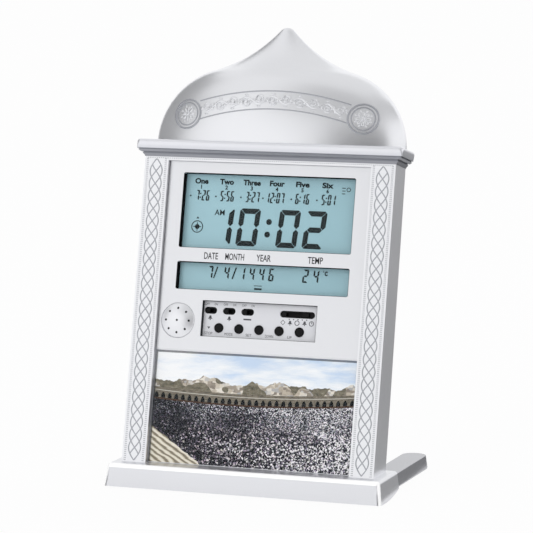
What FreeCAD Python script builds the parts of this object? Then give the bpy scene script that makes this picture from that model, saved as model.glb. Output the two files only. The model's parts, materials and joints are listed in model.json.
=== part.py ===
import FreeCAD, Part
import math
import os
from FreeCAD import Placement, Rotation, Vector

# Table azan clock: a leaning case with two pillars, a cornice and an onion dome, on a bar with two legs.
# Three frames are used, all in mm with x to the viewer's right:
#   stand frame: y runs back along the stand's top, z is its normal, zero at the bar's top front edge
#   clock frame: y runs into the case, z runs up the pillars, zero at the foot of the pillars' faces
#   rear frame:  y points out of the back, z runs up it, zero where the back meets the clock frame's z = 0

# ---- leaning and tapering ----
lean = 14.72  # pillars, back from the vertical
stand_slope = 2.4  # stand top, down towards the back
rear_taper = 1.09  # back of the case against its front
x_axis = Vector(1, 0, 0)
y_axis = Vector(0, 1, 0)
z_axis = Vector(0, 0, 1)
far = 400.0  # beyond the whole clock, for half spaces
through = 150.0  # deeper than the case, for holes and trimmed blanks
same = 0.001  # places closer than this are one

# ---- case ----
case_width = 177.0
case_height = 206.65  # foot of the pillars to the cornice
case_depth = 26.3  # at the foot
pillar_width = 17.0
side_wall = 2.4
pillar_wall = 2.2
front_wall = 2.0
roof = 2.2
floor = 2.4
panel_recess = 3.2  # panel front behind the pillar fronts
panel_thickness = 1.5
panel_gap = 0.3
seat = 0.1  # between flat pieces that are laid in
hole_skin = 0.5  # left in front of a blind screw hole
boss_radius = 3.2

# ---- windows, from the cornice down ----
window_width = 121.7
upper_window_drop = 9.8  # cornice to the upper window
upper_window_height = 50.7
window_space = 9.4  # upper window to the lower one
lower_window_height = 18.8
window_corner = 1.2

# ---- controls ----
control_width = 81.0
control_drop = 6.8  # lower window to the control opening
control_height = 24.2
control_lap = 2.3  # plate beyond its opening
plate_thickness = 1.2
button_count = 5
button_first_x = -28.9
button_pitch = 14.22
button_rise = 6.3  # above the control opening's lower edge
button_radius = 3.1
button_hole_gap = 0.2
button_stand = 1.2  # cap in front of the plate
button_travel = 0.8
button_edge = 0.6
flange_radius = 4.0
flange_thickness = 1.0
stem_radius = 1.2
stem_length = 1.4
switch_count = 3
switch_first_x = -35.5
switch_pitch = 13.1
slide_drop = 6.35  # below the control opening's upper edge
slot_length = 8.95
slot_height = 4.6
selector_x = 25.8
selector_slot_length = 24.6
selector_positions = 5
selector_pitch = 3.0
knob_width = 3.2
knob_height = 2.6
knob_stand = 0.4
knob_travel = 4.0
knob_gap = 0.1
knob_edge = 0.3
selector_knob_width = 4.4
slider_body_height = 6.4
slider_body_margin = 0.9  # slider body beyond its slot, each end
slider_channel_depth = 3.0
behind_plate = 0.2
board_thickness = 1.6
control_board_space = 6.3  # control plate to the switch board
tact_size = 6.0
tact_height = 3.0
tact_hole_radius = 1.6
switch_board_half = 42.5
switch_board_drop = 7.2  # below the control opening
switch_board_space = 0.5  # switch board to the display frame
switch_board_screw_x = 34.0
switch_board_screw_rise = 2.3  # above the switch board's lower edge
small_boss_radius = 2.4

# ---- speaker ----
speaker_x = -57.2
speaker_rise = 9.8  # above the control opening's lower edge
grille_radius = 11.8
grille_rise = 2.2
grille_wall = 1.2
grille_flange = 1.3
grille_gap = 0.15
grille_hole_radius = 0.75
grille_ring_radius = 8.15
grille_ring_count = 8
speaker_radius = 14.0
speaker_rim = 1.6
speaker_depth = 6.0
magnet_radius = 8.0
magnet_depth = 5.0
cone_wall = 0.5
cone_depth = 3.3
voice_coil_radius = 3.6
basket_wall = 1.0
basket_opening = 4.0

# ---- display ----
lens_thickness = 1.2
lens_lap = 1.6
glass_thickness = 1.1
glass_lap = 0.9
glass_ledge = 2.6
frame_wall = 3.4
frame_depth = 5.2
light_thickness = 3.0
ear_length = 6.0
ear_half_height = 3.5
ear_inset = 3.0
board_margin = 1.0
strip_clear = 0.2
strip_inset = 2.0
ear_root = 1.0

# ---- picture ----
picture_drop = 10.25  # control opening to the picture
picture_cover_thickness = 1.2
card_thickness = 0.3
picture_foot_gap = 0.3  # picture above the stand's top

# ---- cornice: heights above the case and shares of the overhang, bottom to top ----
cornice_height = 11.4
cornice_front = 4.8
cornice_side = 5.5
cornice_wall = 2.2
cornice_profile = [
    (0.0, 0.05),
    (0.8, 0.10),
    (2.2, 0.34),
    (2.2, 0.24),
    (3.0, 0.24),
    (3.0, 0.52),
    (4.2, 0.80),
    (4.2, 0.68),
    (4.9, 0.68),
    (4.9, 0.90),
    (6.7, 0.95),
    (8.7, 1.0),
]
cornice_corner = 2.4
cornice_nose = 2.2

# ---- dome ----
dome_half_width = 88.4
dome_height = 81.1
dome_arcs = ((0.6, 73.5), (-1.158, 32.1))  # radius by the half width, and turn, the upper one hollow
dome_arc_steps = 7
dome_wall = 2.2
dome_bulge = 23.3  # front of the dome ahead of its rim, at the foot
dome_rim_foot = 20.8  # start of the straight rim, behind the pillar fronts
dome_rim_lean = 1.8
dome_solid_steps = 2  # at the tip, with no room for a hollow

# ---- back ----
cover_thickness = 2.2
cover_gap = 0.2
cover_screw_x = 80.0
cover_screw_low = 15.0
cover_screw_drop = 11.2  # top ones below the cornice
screw_radius = 1.3
screw_pilot_gap = 0.05
screw_clear_gap = 0.3
screw_grip = 9.0
screw_head_radius = 2.6
screw_head_height = 1.8
screw_cross = 0.7
screw_cross_reach = 1.6
screw_cross_depth = 1.0
hanger_radius = 4.0
hanger_slot_radius = 2.1
hanger_slot_rise = 8.0
hanger_drop = 31.2  # below the cornice
vent_count = 7
vent_length = 22.0
vent_width = 2.0
vent_pitch = 4.5

# ---- batteries ----
cell_count = 3
cell_radius = 7.25
cell_length = 48.6
cell_nub_radius = 2.6
cell_nub_length = 1.2
cell_pitch = 14.8
cell_gap = 0.35
well_bottom = 12.6
well_wall = 1.4
spring_space = 5.0
spring_coil_radius = 3.6
spring_wire_radius = 0.4
spring_turns = 4
contact_thickness = 0.4
contact_half = 6.25
door_margin = 2.4
door_thickness = 1.8
door_gap = 0.25
door_ledge = 1.6
door_pin_radius = 0.6
door_pin_reach = 1.0
door_pin_gap = 0.05
door_grip_width = 18.0
door_grip_top = 5.0  # first groove below the door's upper edge
door_grip_pitch = 2.4
door_grip_depth = 0.6
door_grip_lines = 4

# ---- power inlet ----
jack_x = 66.0
jack_z = 30.0
jack_body = 10.0
jack_depth = 11.0
jack_bore_radius = 2.9
jack_bore_depth = 9.0
jack_pin_radius = 0.95
jack_pin_inset = 1.0
jack_neck_radius = 4.2

# ---- main board parts ----
chip_x = -22.0
chip_rise_on_board = 53.2  # above the display frame's lower edge, as are the next four
chip_radius = 7.0
chip_dome = 1.6
voice_chip_x = 20.0
voice_chip_length = 12.0
voice_chip_width = 7.6
voice_chip_height = 1.9
voice_chip_legs = 8
chip_leg_width = 0.5
chip_leg_length = 1.2
chip_leg_thickness = 0.6
crystal_x = -2.0
crystal_rise = 27.2
crystal_length = 10.5
crystal_width = 4.4
crystal_height = 3.4
capacitor_x = 46.0
capacitor_rise = 37.2
capacitor_pitch = 11.0
capacitor_count = 3
capacitor_radius = 2.5
capacitor_height = 4.6
sensor_x = 58.0
sensor_rise_on_board = 15.2
sensor_radius = 1.3
sensor_stand = 2.6
sensor_lead_radius = 0.3
sensor_lead_spread = 0.7

# ---- inner leads ----
ribbon_width = 16.0
ribbon_thickness = 0.5
ribbon_x = 8.0
ribbon_rise = 3.0
ribbon_landing = 3.5
lead_radius = 0.6
lead_pitch = 1.8
lead_bend = 3.6
speaker_lead_landing = 6.0  # on the main board, above its lower edge
speaker_lead_run = 12.0
battery_lead_landing = 8.0
battery_lead_inset = 6.0
battery_lead_clear = 3.0  # behind the switch board

# ---- stand ----
stand_top_height = 16.2  # bar's top front edge above the table
bar_half_top = 95.2
bar_end_flare = 1.9
bar_depth = 39.6
bar_front_height = 15.1
bar_front_rake = -3.3  # lower front edge behind the upper one
bar_rear_height = 11.6
bar_belly = 1.6  # bulge of the bar's underside below its chord
bar_nose = 2.6
bar_heel = 2.0
bar_wall = 2.6
case_setback = 8.8  # pillar fronts behind the bar's front edge
underside_thickness = 2.0  # at the front and the rear edge
underside_screw_y = 12.0
underside_screw_inner_x = 26.0
underside_screw_outer_x = 76.0
stand_screw_x = 50.0
stand_screw_setback = 13.0
stand_boss_height = 8.0
stand_boss_cap = 1.0
leg_width = 16.7
leg_reach = 114.0
leg_drop = 1.4  # top of the leg below the top of the bar
leg_height = 11.15
leg_tip_slant = 0.6
leg_tip_radius = 8.2
leg_top_edge = 0.4
leg_low_edge = 1.6
leg_root = 12.0
leg_tip_solid = 24.0
leg_wall = 2.4
leg_screw_spread = 5.6
leg_screw_drop = 6.0
foot_radius = 4.5
foot_height = 2.0
foot_gap = 0.1
bar_foot_x = 70.0
bar_foot_y = 22.0
leg_foot_y = 100.0

# ---- places worked out from the sizes ----
half_case = case_width / 2
bay_half = half_case - pillar_width  # half of the space between the pillars
panel_back = panel_recess + panel_thickness
wall_back = panel_back + front_wall  # inner face of the case's front
inner_half = half_case - side_wall
ceiling = case_height - roof
case_lean_on_stand = lean - stand_slope
window_half = window_width / 2
upper_window_top = case_height - upper_window_drop
upper_window_bottom = upper_window_top - upper_window_height
lower_window_bottom = upper_window_bottom - window_space - lower_window_height
control_top = lower_window_bottom - control_drop
control_bottom = control_top - control_height
button_z = control_bottom + button_rise
slide_z = control_top - slide_drop
speaker_z = control_bottom + speaker_rise
picture_top = control_bottom - picture_drop
hanger_z = case_height - hanger_drop
cover_screw_high = case_height - cover_screw_drop
cover_screw_heights = (cover_screw_low, (cover_screw_low + cover_screw_high) / 2, cover_screw_high)
plate_back = wall_back + plate_thickness
button_front = wall_back - button_stand
switch_board_front = plate_back + control_board_space
lens_back = wall_back + lens_thickness
frame_back = lens_back + frame_depth
front_glass_back = lens_back + glass_thickness
rear_glass_back = front_glass_back + glass_thickness
glass_half = window_half + glass_lap
glass_bottom = lower_window_bottom - glass_lap
glass_top = upper_window_top + glass_lap * 2
ledge_bottom = glass_bottom - glass_ledge
frame_half = glass_half + frame_wall
frame_bottom = ledge_bottom - frame_wall + ear_inset / 2
frame_top = glass_top + frame_wall
main_board_back = frame_back + board_thickness
chip_z = frame_bottom + chip_rise_on_board
crystal_z = frame_bottom + crystal_rise
capacitor_z = frame_bottom + capacitor_rise
sensor_z = frame_bottom + sensor_rise_on_board
switch_board_bottom = control_bottom - switch_board_drop
switch_board_top = frame_bottom - switch_board_space
switch_board_screw_z = switch_board_bottom + switch_board_screw_rise
ear_x = frame_half + ear_length / 2
ear_heights = (frame_bottom + ear_half_height + ear_inset, frame_top - ear_half_height - ear_inset)
cornice_top = case_height + cornice_height
dome_base = cornice_top
well_half = (cell_length + spring_space + 2 * contact_thickness + cell_nub_length) / 2
well_height = cell_count * cell_pitch
well_depth = 2 * cell_radius + cell_gap + door_thickness + door_gap
underside_screw_xs = [-underside_screw_outer_x, -underside_screw_inner_x]
underside_screw_xs += [underside_screw_inner_x, underside_screw_outer_x]
stand_frame = Placement(Vector(0, 0, stand_top_height), Rotation(x_axis, -stand_slope))
clock_on_stand = Placement(Vector(0, case_setback, 0), Rotation(x_axis, -case_lean_on_stand))
clock_frame = stand_frame.multiply(clock_on_stand)
rear_frame = Placement(Vector(0, case_depth, 0), Rotation(x_axis, rear_taper))


def back_at(z):
    """Depth of the case's back at a height of the clock frame."""
    return case_depth - z * math.tan(math.radians(rear_taper))


# ---- plain shapes ----
def block(x0, x1, y0, y1, z0, z1):
    return Part.makeBox(x1 - x0, y1 - y0, z1 - z0, Vector(x0, y0, z0))


def rod(radius, x, z, y0, y1):
    return Part.makeCylinder(radius, y1 - y0, Vector(x, y0, z), y_axis)


def post(radius, x, y, z0, z1):
    return Part.makeCylinder(radius, z1 - z0, Vector(x, y, z0), z_axis)


def prism_x(points, x0, x1):
    corners = [Vector(x0, y, z) for y, z in points]
    wire = Part.makePolygon(corners + corners[:1])
    return Part.Face(wire).extrude(Vector(x1 - x0, 0, 0))


def prism_y(points, y0, y1):
    corners = [Vector(x, y0, z) for x, z in points]
    wire = Part.makePolygon(corners + corners[:1])
    return Part.Face(wire).extrude(Vector(0, y1 - y0, 0))


def runs_along(edge, axis):
    ends = edge.Vertexes
    if len(ends) < 2:
        return False
    way = ends[1].Point.sub(ends[0].Point)
    return abs(abs(way.dot(axis)) - way.Length) < same


def rounded_window(cx, cz, width, height, corner, y0, y1):
    body = block(cx - width / 2, cx + width / 2, y0, y1, cz - height / 2, cz + height / 2)
    return body.makeFillet(corner, [e for e in body.Edges if runs_along(e, y_axis)])


def slot_window(cx, cz, length, height, y0, y1):
    reach = (length - height) / 2
    middle = block(cx - reach, cx + reach, y0, y1, cz - height / 2, cz + height / 2)
    ends = [rod(height / 2, cx + side * reach, cz, y0, y1) for side in (-1, 1)]
    return middle.fuse(ends).removeSplitter()


def turned(profile, x, z):
    """A solid of revolution about a line along y. The profile holds (y, radius) points."""
    corners = [Vector(x + radius, y, z) for y, radius in profile]
    face = Part.Face(Part.makePolygon(corners + corners[:1]))
    return face.revolve(Vector(x, 0, z), y_axis, 360)


def moved(shape, frame):
    copy = shape.copy()
    copy.Placement = frame.multiply(copy.Placement)
    return copy


def fuse_all(shapes):
    return shapes[0].fuse(shapes[1:]).removeSplitter()


def mirrored(shape):
    return shape.mirror(Vector(0, 0, 0), x_axis)


# ---- cutting tools in the clock frame ----
def below_stand_top(height):
    tool = block(-far, far, -far, far, -far, height)
    return moved(tool, clock_on_stand.inverse())


def behind_back(offset):
    """Everything behind the back plane moved out by the offset."""
    return moved(block(-far, far, offset, far, -far, far), rear_frame)


def cover_room():
    """Space that the rear cover takes in the case and the cornice."""
    hole = block(-inner_half, inner_half, 0, through, -through, dome_base)
    return hole.common(behind_back(-cover_thickness - cover_gap)).cut(below_stand_top(floor))


def screw(x, y, z, grip, direction):
    """A pan head screw. The place is under its head, and the direction is the way it goes in."""
    shank = Part.makeCylinder(screw_radius, grip, Vector(x, y, z), direction)
    back = Vector(direction).multiply(-screw_head_height)
    head = Part.makeCylinder(screw_head_radius, screw_head_height, Vector(x, y, z).add(back), direction)
    rim = [e for e in head.Edges if e.CenterOfMass.sub(Vector(x, y, z).add(back)).Length < same]
    head = head.makeFillet(screw_head_height / 2, rim)
    other = direction.cross(x_axis)
    body = shank.fuse(head)
    mouth = Vector(x, y, z).add(back)
    for long_way, short_way in ((x_axis, other), (other, x_axis)):
        corner = mouth.sub(Vector(long_way).multiply(screw_cross_reach))
        corner = corner.sub(Vector(short_way).multiply(screw_cross / 2))
        bar = Part.makeBox(2 * screw_cross_reach, screw_cross, screw_cross_depth)
        turn = Rotation(long_way, short_way, direction, "XYZ")
        bar.Placement = Placement(corner, turn)
        body = body.cut(bar)
    return body


# ---- case and panels ----
def make_front_case():
    outer = block(-half_case, half_case, 0, through, -through, case_height)
    outer = outer.cut(below_stand_top(0)).cut(behind_back(0))
    bay = block(-bay_half, bay_half, -through, panel_back, -through, ceiling)
    hollow = block(-inner_half, inner_half, wall_back, through, -through, ceiling)
    pocket = block(bay_half + pillar_wall, inner_half, pillar_wall, through, -through, ceiling)
    hollow = hollow.fuse([pocket, mirrored(pocket)]).cut(below_stand_top(floor))
    case = outer.cut(bay).cut(hollow).cut(cover_room())
    bosses = []
    holes = []
    for side in (-1, 1):
        for height in cover_screw_heights:
            x = side * cover_screw_x
            column = rod(boss_radius, x, height, pillar_wall, through)
            bosses.append(column.cut(behind_back(-cover_thickness)))
            top = back_at(height) - cover_thickness
            holes.append(rod(screw_radius + screw_pilot_gap, x, height, top - screw_grip, through))
        for height in ear_heights:
            x = side * ear_x
            bosses.append(rod(small_boss_radius, x, height, wall_back, frame_back - light_thickness))
            holes.append(rod(screw_radius + screw_pilot_gap, x, height, panel_back + hole_skin, frame_back))
        x = side * switch_board_screw_x
        z = switch_board_screw_z
        bosses.append(rod(small_boss_radius, x, z, wall_back, switch_board_front))
        holes.append(rod(screw_radius + screw_pilot_gap, x, z, panel_back + hole_skin, through))
        place = clock_on_stand.inverse()
        y = case_setback + stand_screw_setback
        x = side * stand_screw_x
        bosses.append(moved(post(boss_radius, x, y, floor, floor + stand_boss_height), place))
        top = floor + stand_boss_height - stand_boss_cap
        holes.append(moved(post(screw_radius + screw_pilot_gap, x, y, -through, top), place))
    case = case.fuse(bosses)
    return case.cut(holes + face_openings() + [speaker_seat()]).removeSplitter()


def face_openings():
    """The two windows and the control opening, through the panel and the case behind it."""
    upper_middle = upper_window_bottom + upper_window_height / 2
    lower_middle = lower_window_bottom + lower_window_height / 2
    half = control_width / 2
    return [
        rounded_window(0, upper_middle, window_width, upper_window_height, window_corner, 0, wall_back),
        rounded_window(0, lower_middle, window_width, lower_window_height, window_corner, 0, wall_back),
        block(-half, half, 0, wall_back, control_bottom, control_top),
    ]


def speaker_seat():
    return rod(grille_radius + grille_flange + grille_gap, speaker_x, speaker_z, panel_back, wall_back)


def make_face_panel():
    half = bay_half - panel_gap
    panel = block(-half, half, panel_recess, panel_back, picture_top + panel_gap, ceiling - panel_gap)
    hole = rod(grille_radius + grille_gap, speaker_x, speaker_z, 0, panel_back)
    return panel.cut(face_openings() + [hole])


def picture_sheet(front, thickness):
    half = bay_half - panel_gap
    sheet = block(-half, half, front, front + thickness, -through, picture_top - panel_gap)
    return sheet.cut(below_stand_top(picture_foot_gap))


def make_picture_cover():
    return picture_sheet(panel_recess, picture_cover_thickness)


def make_picture_card():
    return picture_sheet(panel_back - card_thickness, card_thickness)


# ---- cornice and dome ----
def cornice_outline(half, front):
    """Right half of the moulding's section as (reach, height), its shares times the overhang."""
    return [(half + share * front, case_height + height) for height, share in cornice_profile]


def make_cornice():
    side = cornice_outline(half_case, cornice_side)
    right = side + [(half_case + cornice_side, cornice_top)]
    left = [(-x, z) for x, z in reversed(right)]
    ends = prism_y(right + left, -through, through)
    front = [(-reach, z) for reach, z in cornice_outline(0, cornice_front)]
    back = [(-cornice_front, cornice_top), (through, cornice_top), (through, case_height)]
    across = prism_x(front + back, -through, through)
    plan = block(left[0][0], right[-1][0], -cornice_front, through, case_height, cornice_top)
    front_corners = [e for e in plan.Edges if runs_along(e, z_axis) and e.CenterOfMass.y < 0]
    plan = plan.makeFillet(cornice_corner, front_corners)
    moulding = ends.common(across).common(plan).cut(behind_back(0))
    top_edges = []
    for edge in moulding.Edges:
        box = edge.BoundBox
        if box.ZMin > cornice_top - same and box.YMin < back_at(cornice_top) - same:
            top_edges.append(edge)
    moulding = moulding.makeFillet(cornice_nose, top_edges)
    hollow = block(-inner_half, inner_half, pillar_wall, through, -through, cornice_top - cornice_wall)
    return moulding.cut(hollow).cut(cover_room()).removeSplitter()


def ogee_shares():
    """Heights and half widths up the dome's ogee, as shares of its height and of its foot's half width."""
    width = 1.0
    height = 0.0
    heading = 0.0
    points = [(height, width)]
    for radius, turn in dome_arcs:
        bend = math.copysign(math.radians(turn) / dome_arc_steps, radius)
        chord = 2 * radius * math.sin(bend / 2)
        for _ in range(dome_arc_steps):
            width -= chord * math.sin(heading + bend / 2)
            height += chord * math.cos(heading + bend / 2)
            heading += bend
            points.append((height, width))
    return [(z / height, x) for z, x in points]


def dome_section(height_share, width_share, wall, back_offset):
    """A level section of the dome: half an ellipse in front of a straight rim."""
    z = dome_base + height_share * dome_height
    half = width_share * dome_half_width - wall
    rim = dome_rim_foot - height_share * dome_height * math.tan(math.radians(dome_rim_lean))
    bulge = width_share * dome_bulge - wall
    back = back_at(z) + back_offset
    oval = Part.Ellipse(Vector(0, rim, z), half, bulge)
    front = Part.ArcOfEllipse(oval, math.pi, 2 * math.pi).toShape()
    right = Part.makeLine(Vector(half, rim, z), Vector(half, back, z))
    rear = Part.makeLine(Vector(half, back, z), Vector(-half, back, z))
    left = Part.makeLine(Vector(-half, back, z), Vector(-half, rim, z))
    return Part.Wire([front, right, rear, left])


def dome_inside(inset):
    """The hollow of the dome, open at the back, at an inset from its outer face."""
    ogee = ogee_shares()[:-dome_solid_steps]
    return Part.makeLoft([dome_section(h, w, inset, inset) for h, w in ogee], True, False)


def make_dome_shell():
    outer = Part.makeLoft([dome_section(h, w, 0, 0) for h, w in ogee_shares()], True, False)
    return outer.cut(dome_inside(dome_wall))


# ---- back ----
def dome_cover_plate():
    top = dome_base + ogee_shares()[-dome_solid_steps - 1][0] * dome_height - cover_gap
    above = block(-through, through, -through, through, top, top + through)
    return dome_inside(dome_wall + cover_gap).cut(above)


def make_rear_cover():
    half = inner_half - cover_gap
    sheet = block(-half, half, 0, through, -through, dome_base)
    sheet = sheet.cut(below_stand_top(floor + cover_gap))
    sheet = sheet.fuse(dome_cover_plate())
    slab = behind_back(-cover_thickness).cut(behind_back(0))
    plate = sheet.common(slab)
    plate = plate.fuse(moved(battery_well_walls(), rear_frame))
    pin_holes = door_pins(door_pin_gap)
    cuts = [moved(tool, rear_frame) for tool in (battery_well_hollow(), door_recess(), pin_holes)]
    for side in (-1, 1):
        for height in cover_screw_heights:
            cuts.append(rod(screw_radius + screw_clear_gap, side * cover_screw_x, height, 0, through))
    keyhole = rod(hanger_radius, 0, hanger_z, 0, through)
    slot_top = hanger_z + hanger_radius + hanger_slot_rise
    rise = block(-hanger_slot_radius, hanger_slot_radius, 0, through, hanger_z, slot_top)
    end = rod(hanger_slot_radius, 0, slot_top, 0, through)
    cuts += [keyhole, rise, end]
    for row in range(vent_count):
        z = speaker_z + (row - (vent_count - 1) / 2) * vent_pitch
        cuts.append(slot_window(speaker_x, z, vent_length, vent_width, 0, through))
    cuts.append(moved(rod(jack_neck_radius + cover_gap / 2, jack_x, jack_z, -through, through), rear_frame))
    return plate.cut(cuts).removeSplitter()


def battery_well_walls():
    half = well_half + well_wall
    well_top = well_bottom + well_height
    seat_y = -door_thickness - door_gap
    front = -well_depth - well_wall
    pan = block(-half, half, front, seat_y, well_bottom - well_wall, well_top + well_wall)
    reach = door_margin + door_gap + well_wall
    half = well_half + reach
    back = -cover_thickness / 2
    ledge = block(-half, half, seat_y - door_ledge, back, well_bottom - reach, well_top + reach)
    return pan.fuse(ledge)


def battery_well_hollow():
    return block(-well_half, well_half, -well_depth, through, well_bottom, well_bottom + well_height)


def door_recess():
    half = well_half + door_margin + door_gap
    low = well_bottom - door_margin - door_gap
    high = well_bottom + well_height + door_margin + door_gap
    return block(-half, half, -door_thickness - door_gap, through, low, high)


def door_low():
    return well_bottom - door_margin


def door_high():
    return well_bottom + well_height + door_margin


def hinge_rod(radius, half):
    middle = door_thickness / 2
    return Part.makeCylinder(radius, 2 * half, Vector(-half, -middle, door_low() + middle), x_axis)


def door_pins(gap):
    return hinge_rod(door_pin_radius + gap, well_half + door_margin + door_pin_reach + gap)


def make_battery_door():
    half = well_half + door_margin
    radius = door_thickness / 2
    door = block(-half, half, -door_thickness, 0, door_low() + radius, door_high())
    door = fuse_all([door, hinge_rod(radius, half), door_pins(0)])
    grip = door_grip_width / 2
    for line in range(door_grip_lines):
        z = door_high() - door_grip_top - line * door_grip_pitch
        door = door.cut(block(-grip, grip, -door_grip_depth, through, z, z + door_grip_depth))
    return moved(door, rear_frame)


def cell_heights():
    return [well_bottom + (index + 0.5) * cell_pitch for index in range(cell_count)]


def cell_depth():
    return -well_depth + cell_radius + cell_gap / 2


def make_battery_cells():
    cells = []
    for index, z in enumerate(cell_heights()):
        way = 1 if index % 2 == 0 else -1
        nub_end = way * (well_half - contact_thickness)
        start = nub_end - way * (cell_nub_length + cell_length)
        can = Part.makeCylinder(cell_radius, cell_length, Vector(start, cell_depth(), z), Vector(way, 0, 0))
        nub_start = Vector(nub_end - way * cell_nub_length, cell_depth(), z)
        nub = Part.makeCylinder(cell_nub_radius, cell_nub_length, nub_start, Vector(way, 0, 0))
        cells.append(moved(can.fuse(nub), rear_frame))
    return Part.makeCompound(cells)


def make_battery_contacts():
    plates = []
    reach = contact_half
    for z in cell_heights():
        for side in (-1, 1):
            x0 = side * well_half
            x1 = side * (well_half - contact_thickness)
            low = cell_depth() - reach
            plate = block(min(x0, x1), max(x0, x1), low, cell_depth() + reach, z - reach, z + reach)
            plates.append(moved(plate, rear_frame))
    return Part.makeCompound(plates)


def make_battery_springs():
    springs = []
    length = spring_space - 2 * spring_wire_radius
    helix = Part.makeLongHelix(length / spring_turns, length, spring_coil_radius)
    ring = Part.Wire(Part.makeCircle(spring_wire_radius, Vector(spring_coil_radius, 0, 0), y_axis))
    coil = Part.Wire(helix.Edges).makePipeShell([ring], True, True)
    for index, z in enumerate(cell_heights()):
        way = 1 if index % 2 == 0 else -1
        start = Vector(-way * (well_half - contact_thickness - spring_wire_radius), cell_depth(), z)
        place = Placement(start, Rotation(z_axis, Vector(way, 0, 0)))
        springs.append(moved(moved(coil, place), rear_frame))
    return Part.makeCompound(springs)


def make_dc_jack():
    neck = rod(jack_neck_radius, jack_x, jack_z, -cover_thickness, 0)
    half = jack_body / 2
    front = -cover_thickness - jack_depth
    body = block(jack_x - half, jack_x + half, front, -cover_thickness, jack_z - half, jack_z + half)
    body = body.fuse(neck).cut(rod(jack_bore_radius, jack_x, jack_z, -jack_bore_depth, through))
    pin = rod(jack_pin_radius, jack_x, jack_z, front, -jack_pin_inset)
    return moved(body.fuse(pin), rear_frame)


def make_cover_screws():
    screws = []
    for side in (-1, 1):
        for height in cover_screw_heights:
            x = side * cover_screw_x
            screws.append(screw(x, back_at(height) + seat / 2, height, screw_grip, Vector(0, -1, 0)))
    return Part.makeCompound(screws)


# ---- display ----
def make_display_lens():
    half = window_half + lens_lap
    top = upper_window_top + lens_lap
    return block(-half, half, wall_back, lens_back, lower_window_bottom - lens_lap, top)


def make_lcd_front_glass():
    return block(-glass_half, glass_half, lens_back, front_glass_back, glass_bottom, glass_top)


def make_lcd_rear_glass():
    return block(-glass_half, glass_half, front_glass_back, rear_glass_back, ledge_bottom, glass_top)


def make_backlight():
    return block(-glass_half, glass_half, rear_glass_back, frame_back, glass_bottom + strip_clear, glass_top)


def make_zebra_strip():
    half = glass_half - strip_inset
    return block(-half, half, rear_glass_back, frame_back, ledge_bottom + strip_clear, glass_bottom)


def make_lcd_frame():
    ring = block(-frame_half, frame_half, lens_back, frame_back, frame_bottom, frame_top)
    ears = []
    holes = []
    for side in (-1, 1):
        for height in ear_heights:
            ends = sorted([side * (frame_half - ear_root), side * (frame_half + ear_length)])
            levels = (height - ear_half_height, height + ear_half_height)
            ears.append(block(*ends, frame_back - light_thickness, frame_back, *levels))
            holes.append(rod(screw_radius + screw_clear_gap, side * ear_x, height, 0, through))
    gap = strip_clear / 2
    hole = block(-glass_half - gap, glass_half + gap, 0, through, ledge_bottom - gap, glass_top + gap)
    return ring.fuse(ears).cut([hole] + holes).removeSplitter()


def make_main_board():
    half = frame_half + ear_length
    low = frame_bottom + board_margin
    board = block(-half, half, frame_back, main_board_back, low, frame_top - board_margin)
    holes = []
    for side in (-1, 1):
        for height in ear_heights:
            holes.append(rod(screw_radius + screw_clear_gap, side * ear_x, height, 0, through))
    return board.cut(holes)


def make_board_screws():
    screws = []
    for side in (-1, 1):
        for height in ear_heights:
            grip = main_board_back - wall_back + seat
            screws.append(screw(side * ear_x, main_board_back, height, grip, Vector(0, -1, 0)))
        back = switch_board_front + board_thickness
        place = (side * switch_board_screw_x, back, switch_board_screw_z)
        screws.append(screw(*place, screw_grip, Vector(0, -1, 0)))
    return Part.makeCompound(screws)


def make_clock_chip():
    sphere_radius = (chip_radius**2 + chip_dome**2) / (2 * chip_dome)
    centre = Vector(chip_x, main_board_back + chip_dome - sphere_radius, chip_z)
    ball = Part.makeSphere(sphere_radius, centre)
    return ball.common(block(-through, through, main_board_back, through, 0, far))


def make_sound_chip():
    start = voice_chip_x - voice_chip_length / 2
    reach = voice_chip_width / 2
    back = main_board_back + voice_chip_height
    body = block(start, start + voice_chip_length, main_board_back, back, chip_z - reach, chip_z + reach)
    legs = []
    pitch = voice_chip_length / voice_chip_legs
    leg_back = main_board_back + chip_leg_thickness
    for index in range(voice_chip_legs):
        x = start + (index + 0.5) * pitch - chip_leg_width / 2
        for side in (-1, 1):
            levels = sorted([chip_z + side * reach, chip_z + side * (reach + chip_leg_length)])
            legs.append(block(x, x + chip_leg_width, main_board_back, leg_back, *levels))
    return body.fuse(legs)


def make_quartz_crystal():
    back = main_board_back + crystal_height
    return slot_window(crystal_x, crystal_z, crystal_length, crystal_width, main_board_back, back)


def make_capacitors():
    cans = []
    back = main_board_back + capacitor_height
    for index in range(capacitor_count):
        z = capacitor_z + index * capacitor_pitch
        cans.append(rod(capacitor_radius, capacitor_x, z, main_board_back, back))
    return Part.makeCompound(cans)


def make_temperature_sensor():
    leads = []
    for side in (-1, 1):
        x = sensor_x + side * sensor_lead_spread
        leads.append(rod(sensor_lead_radius, x, sensor_z, main_board_back, main_board_back + sensor_stand))
    bead = Part.makeSphere(sensor_radius, Vector(sensor_x, main_board_back + sensor_stand, sensor_z))
    return bead.fuse(leads)


# ---- controls ----
def button_x(index):
    return button_first_x + index * button_pitch


def switch_x(index):
    return switch_first_x + index * switch_pitch


def make_control_plate():
    half = control_width / 2 + control_lap
    low = control_bottom - control_lap
    plate = block(-half, half, wall_back, plate_back, low, control_top + control_lap)
    holes = []
    for index in range(button_count):
        holes.append(rod(button_radius + button_hole_gap, button_x(index), button_z, 0, through))
    for index in range(switch_count):
        holes.append(slot_window(switch_x(index), slide_z, slot_length, slot_height, 0, through))
    holes.append(slot_window(selector_x, slide_z, selector_slot_length, slot_height, 0, through))
    return plate.cut(holes)


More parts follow.
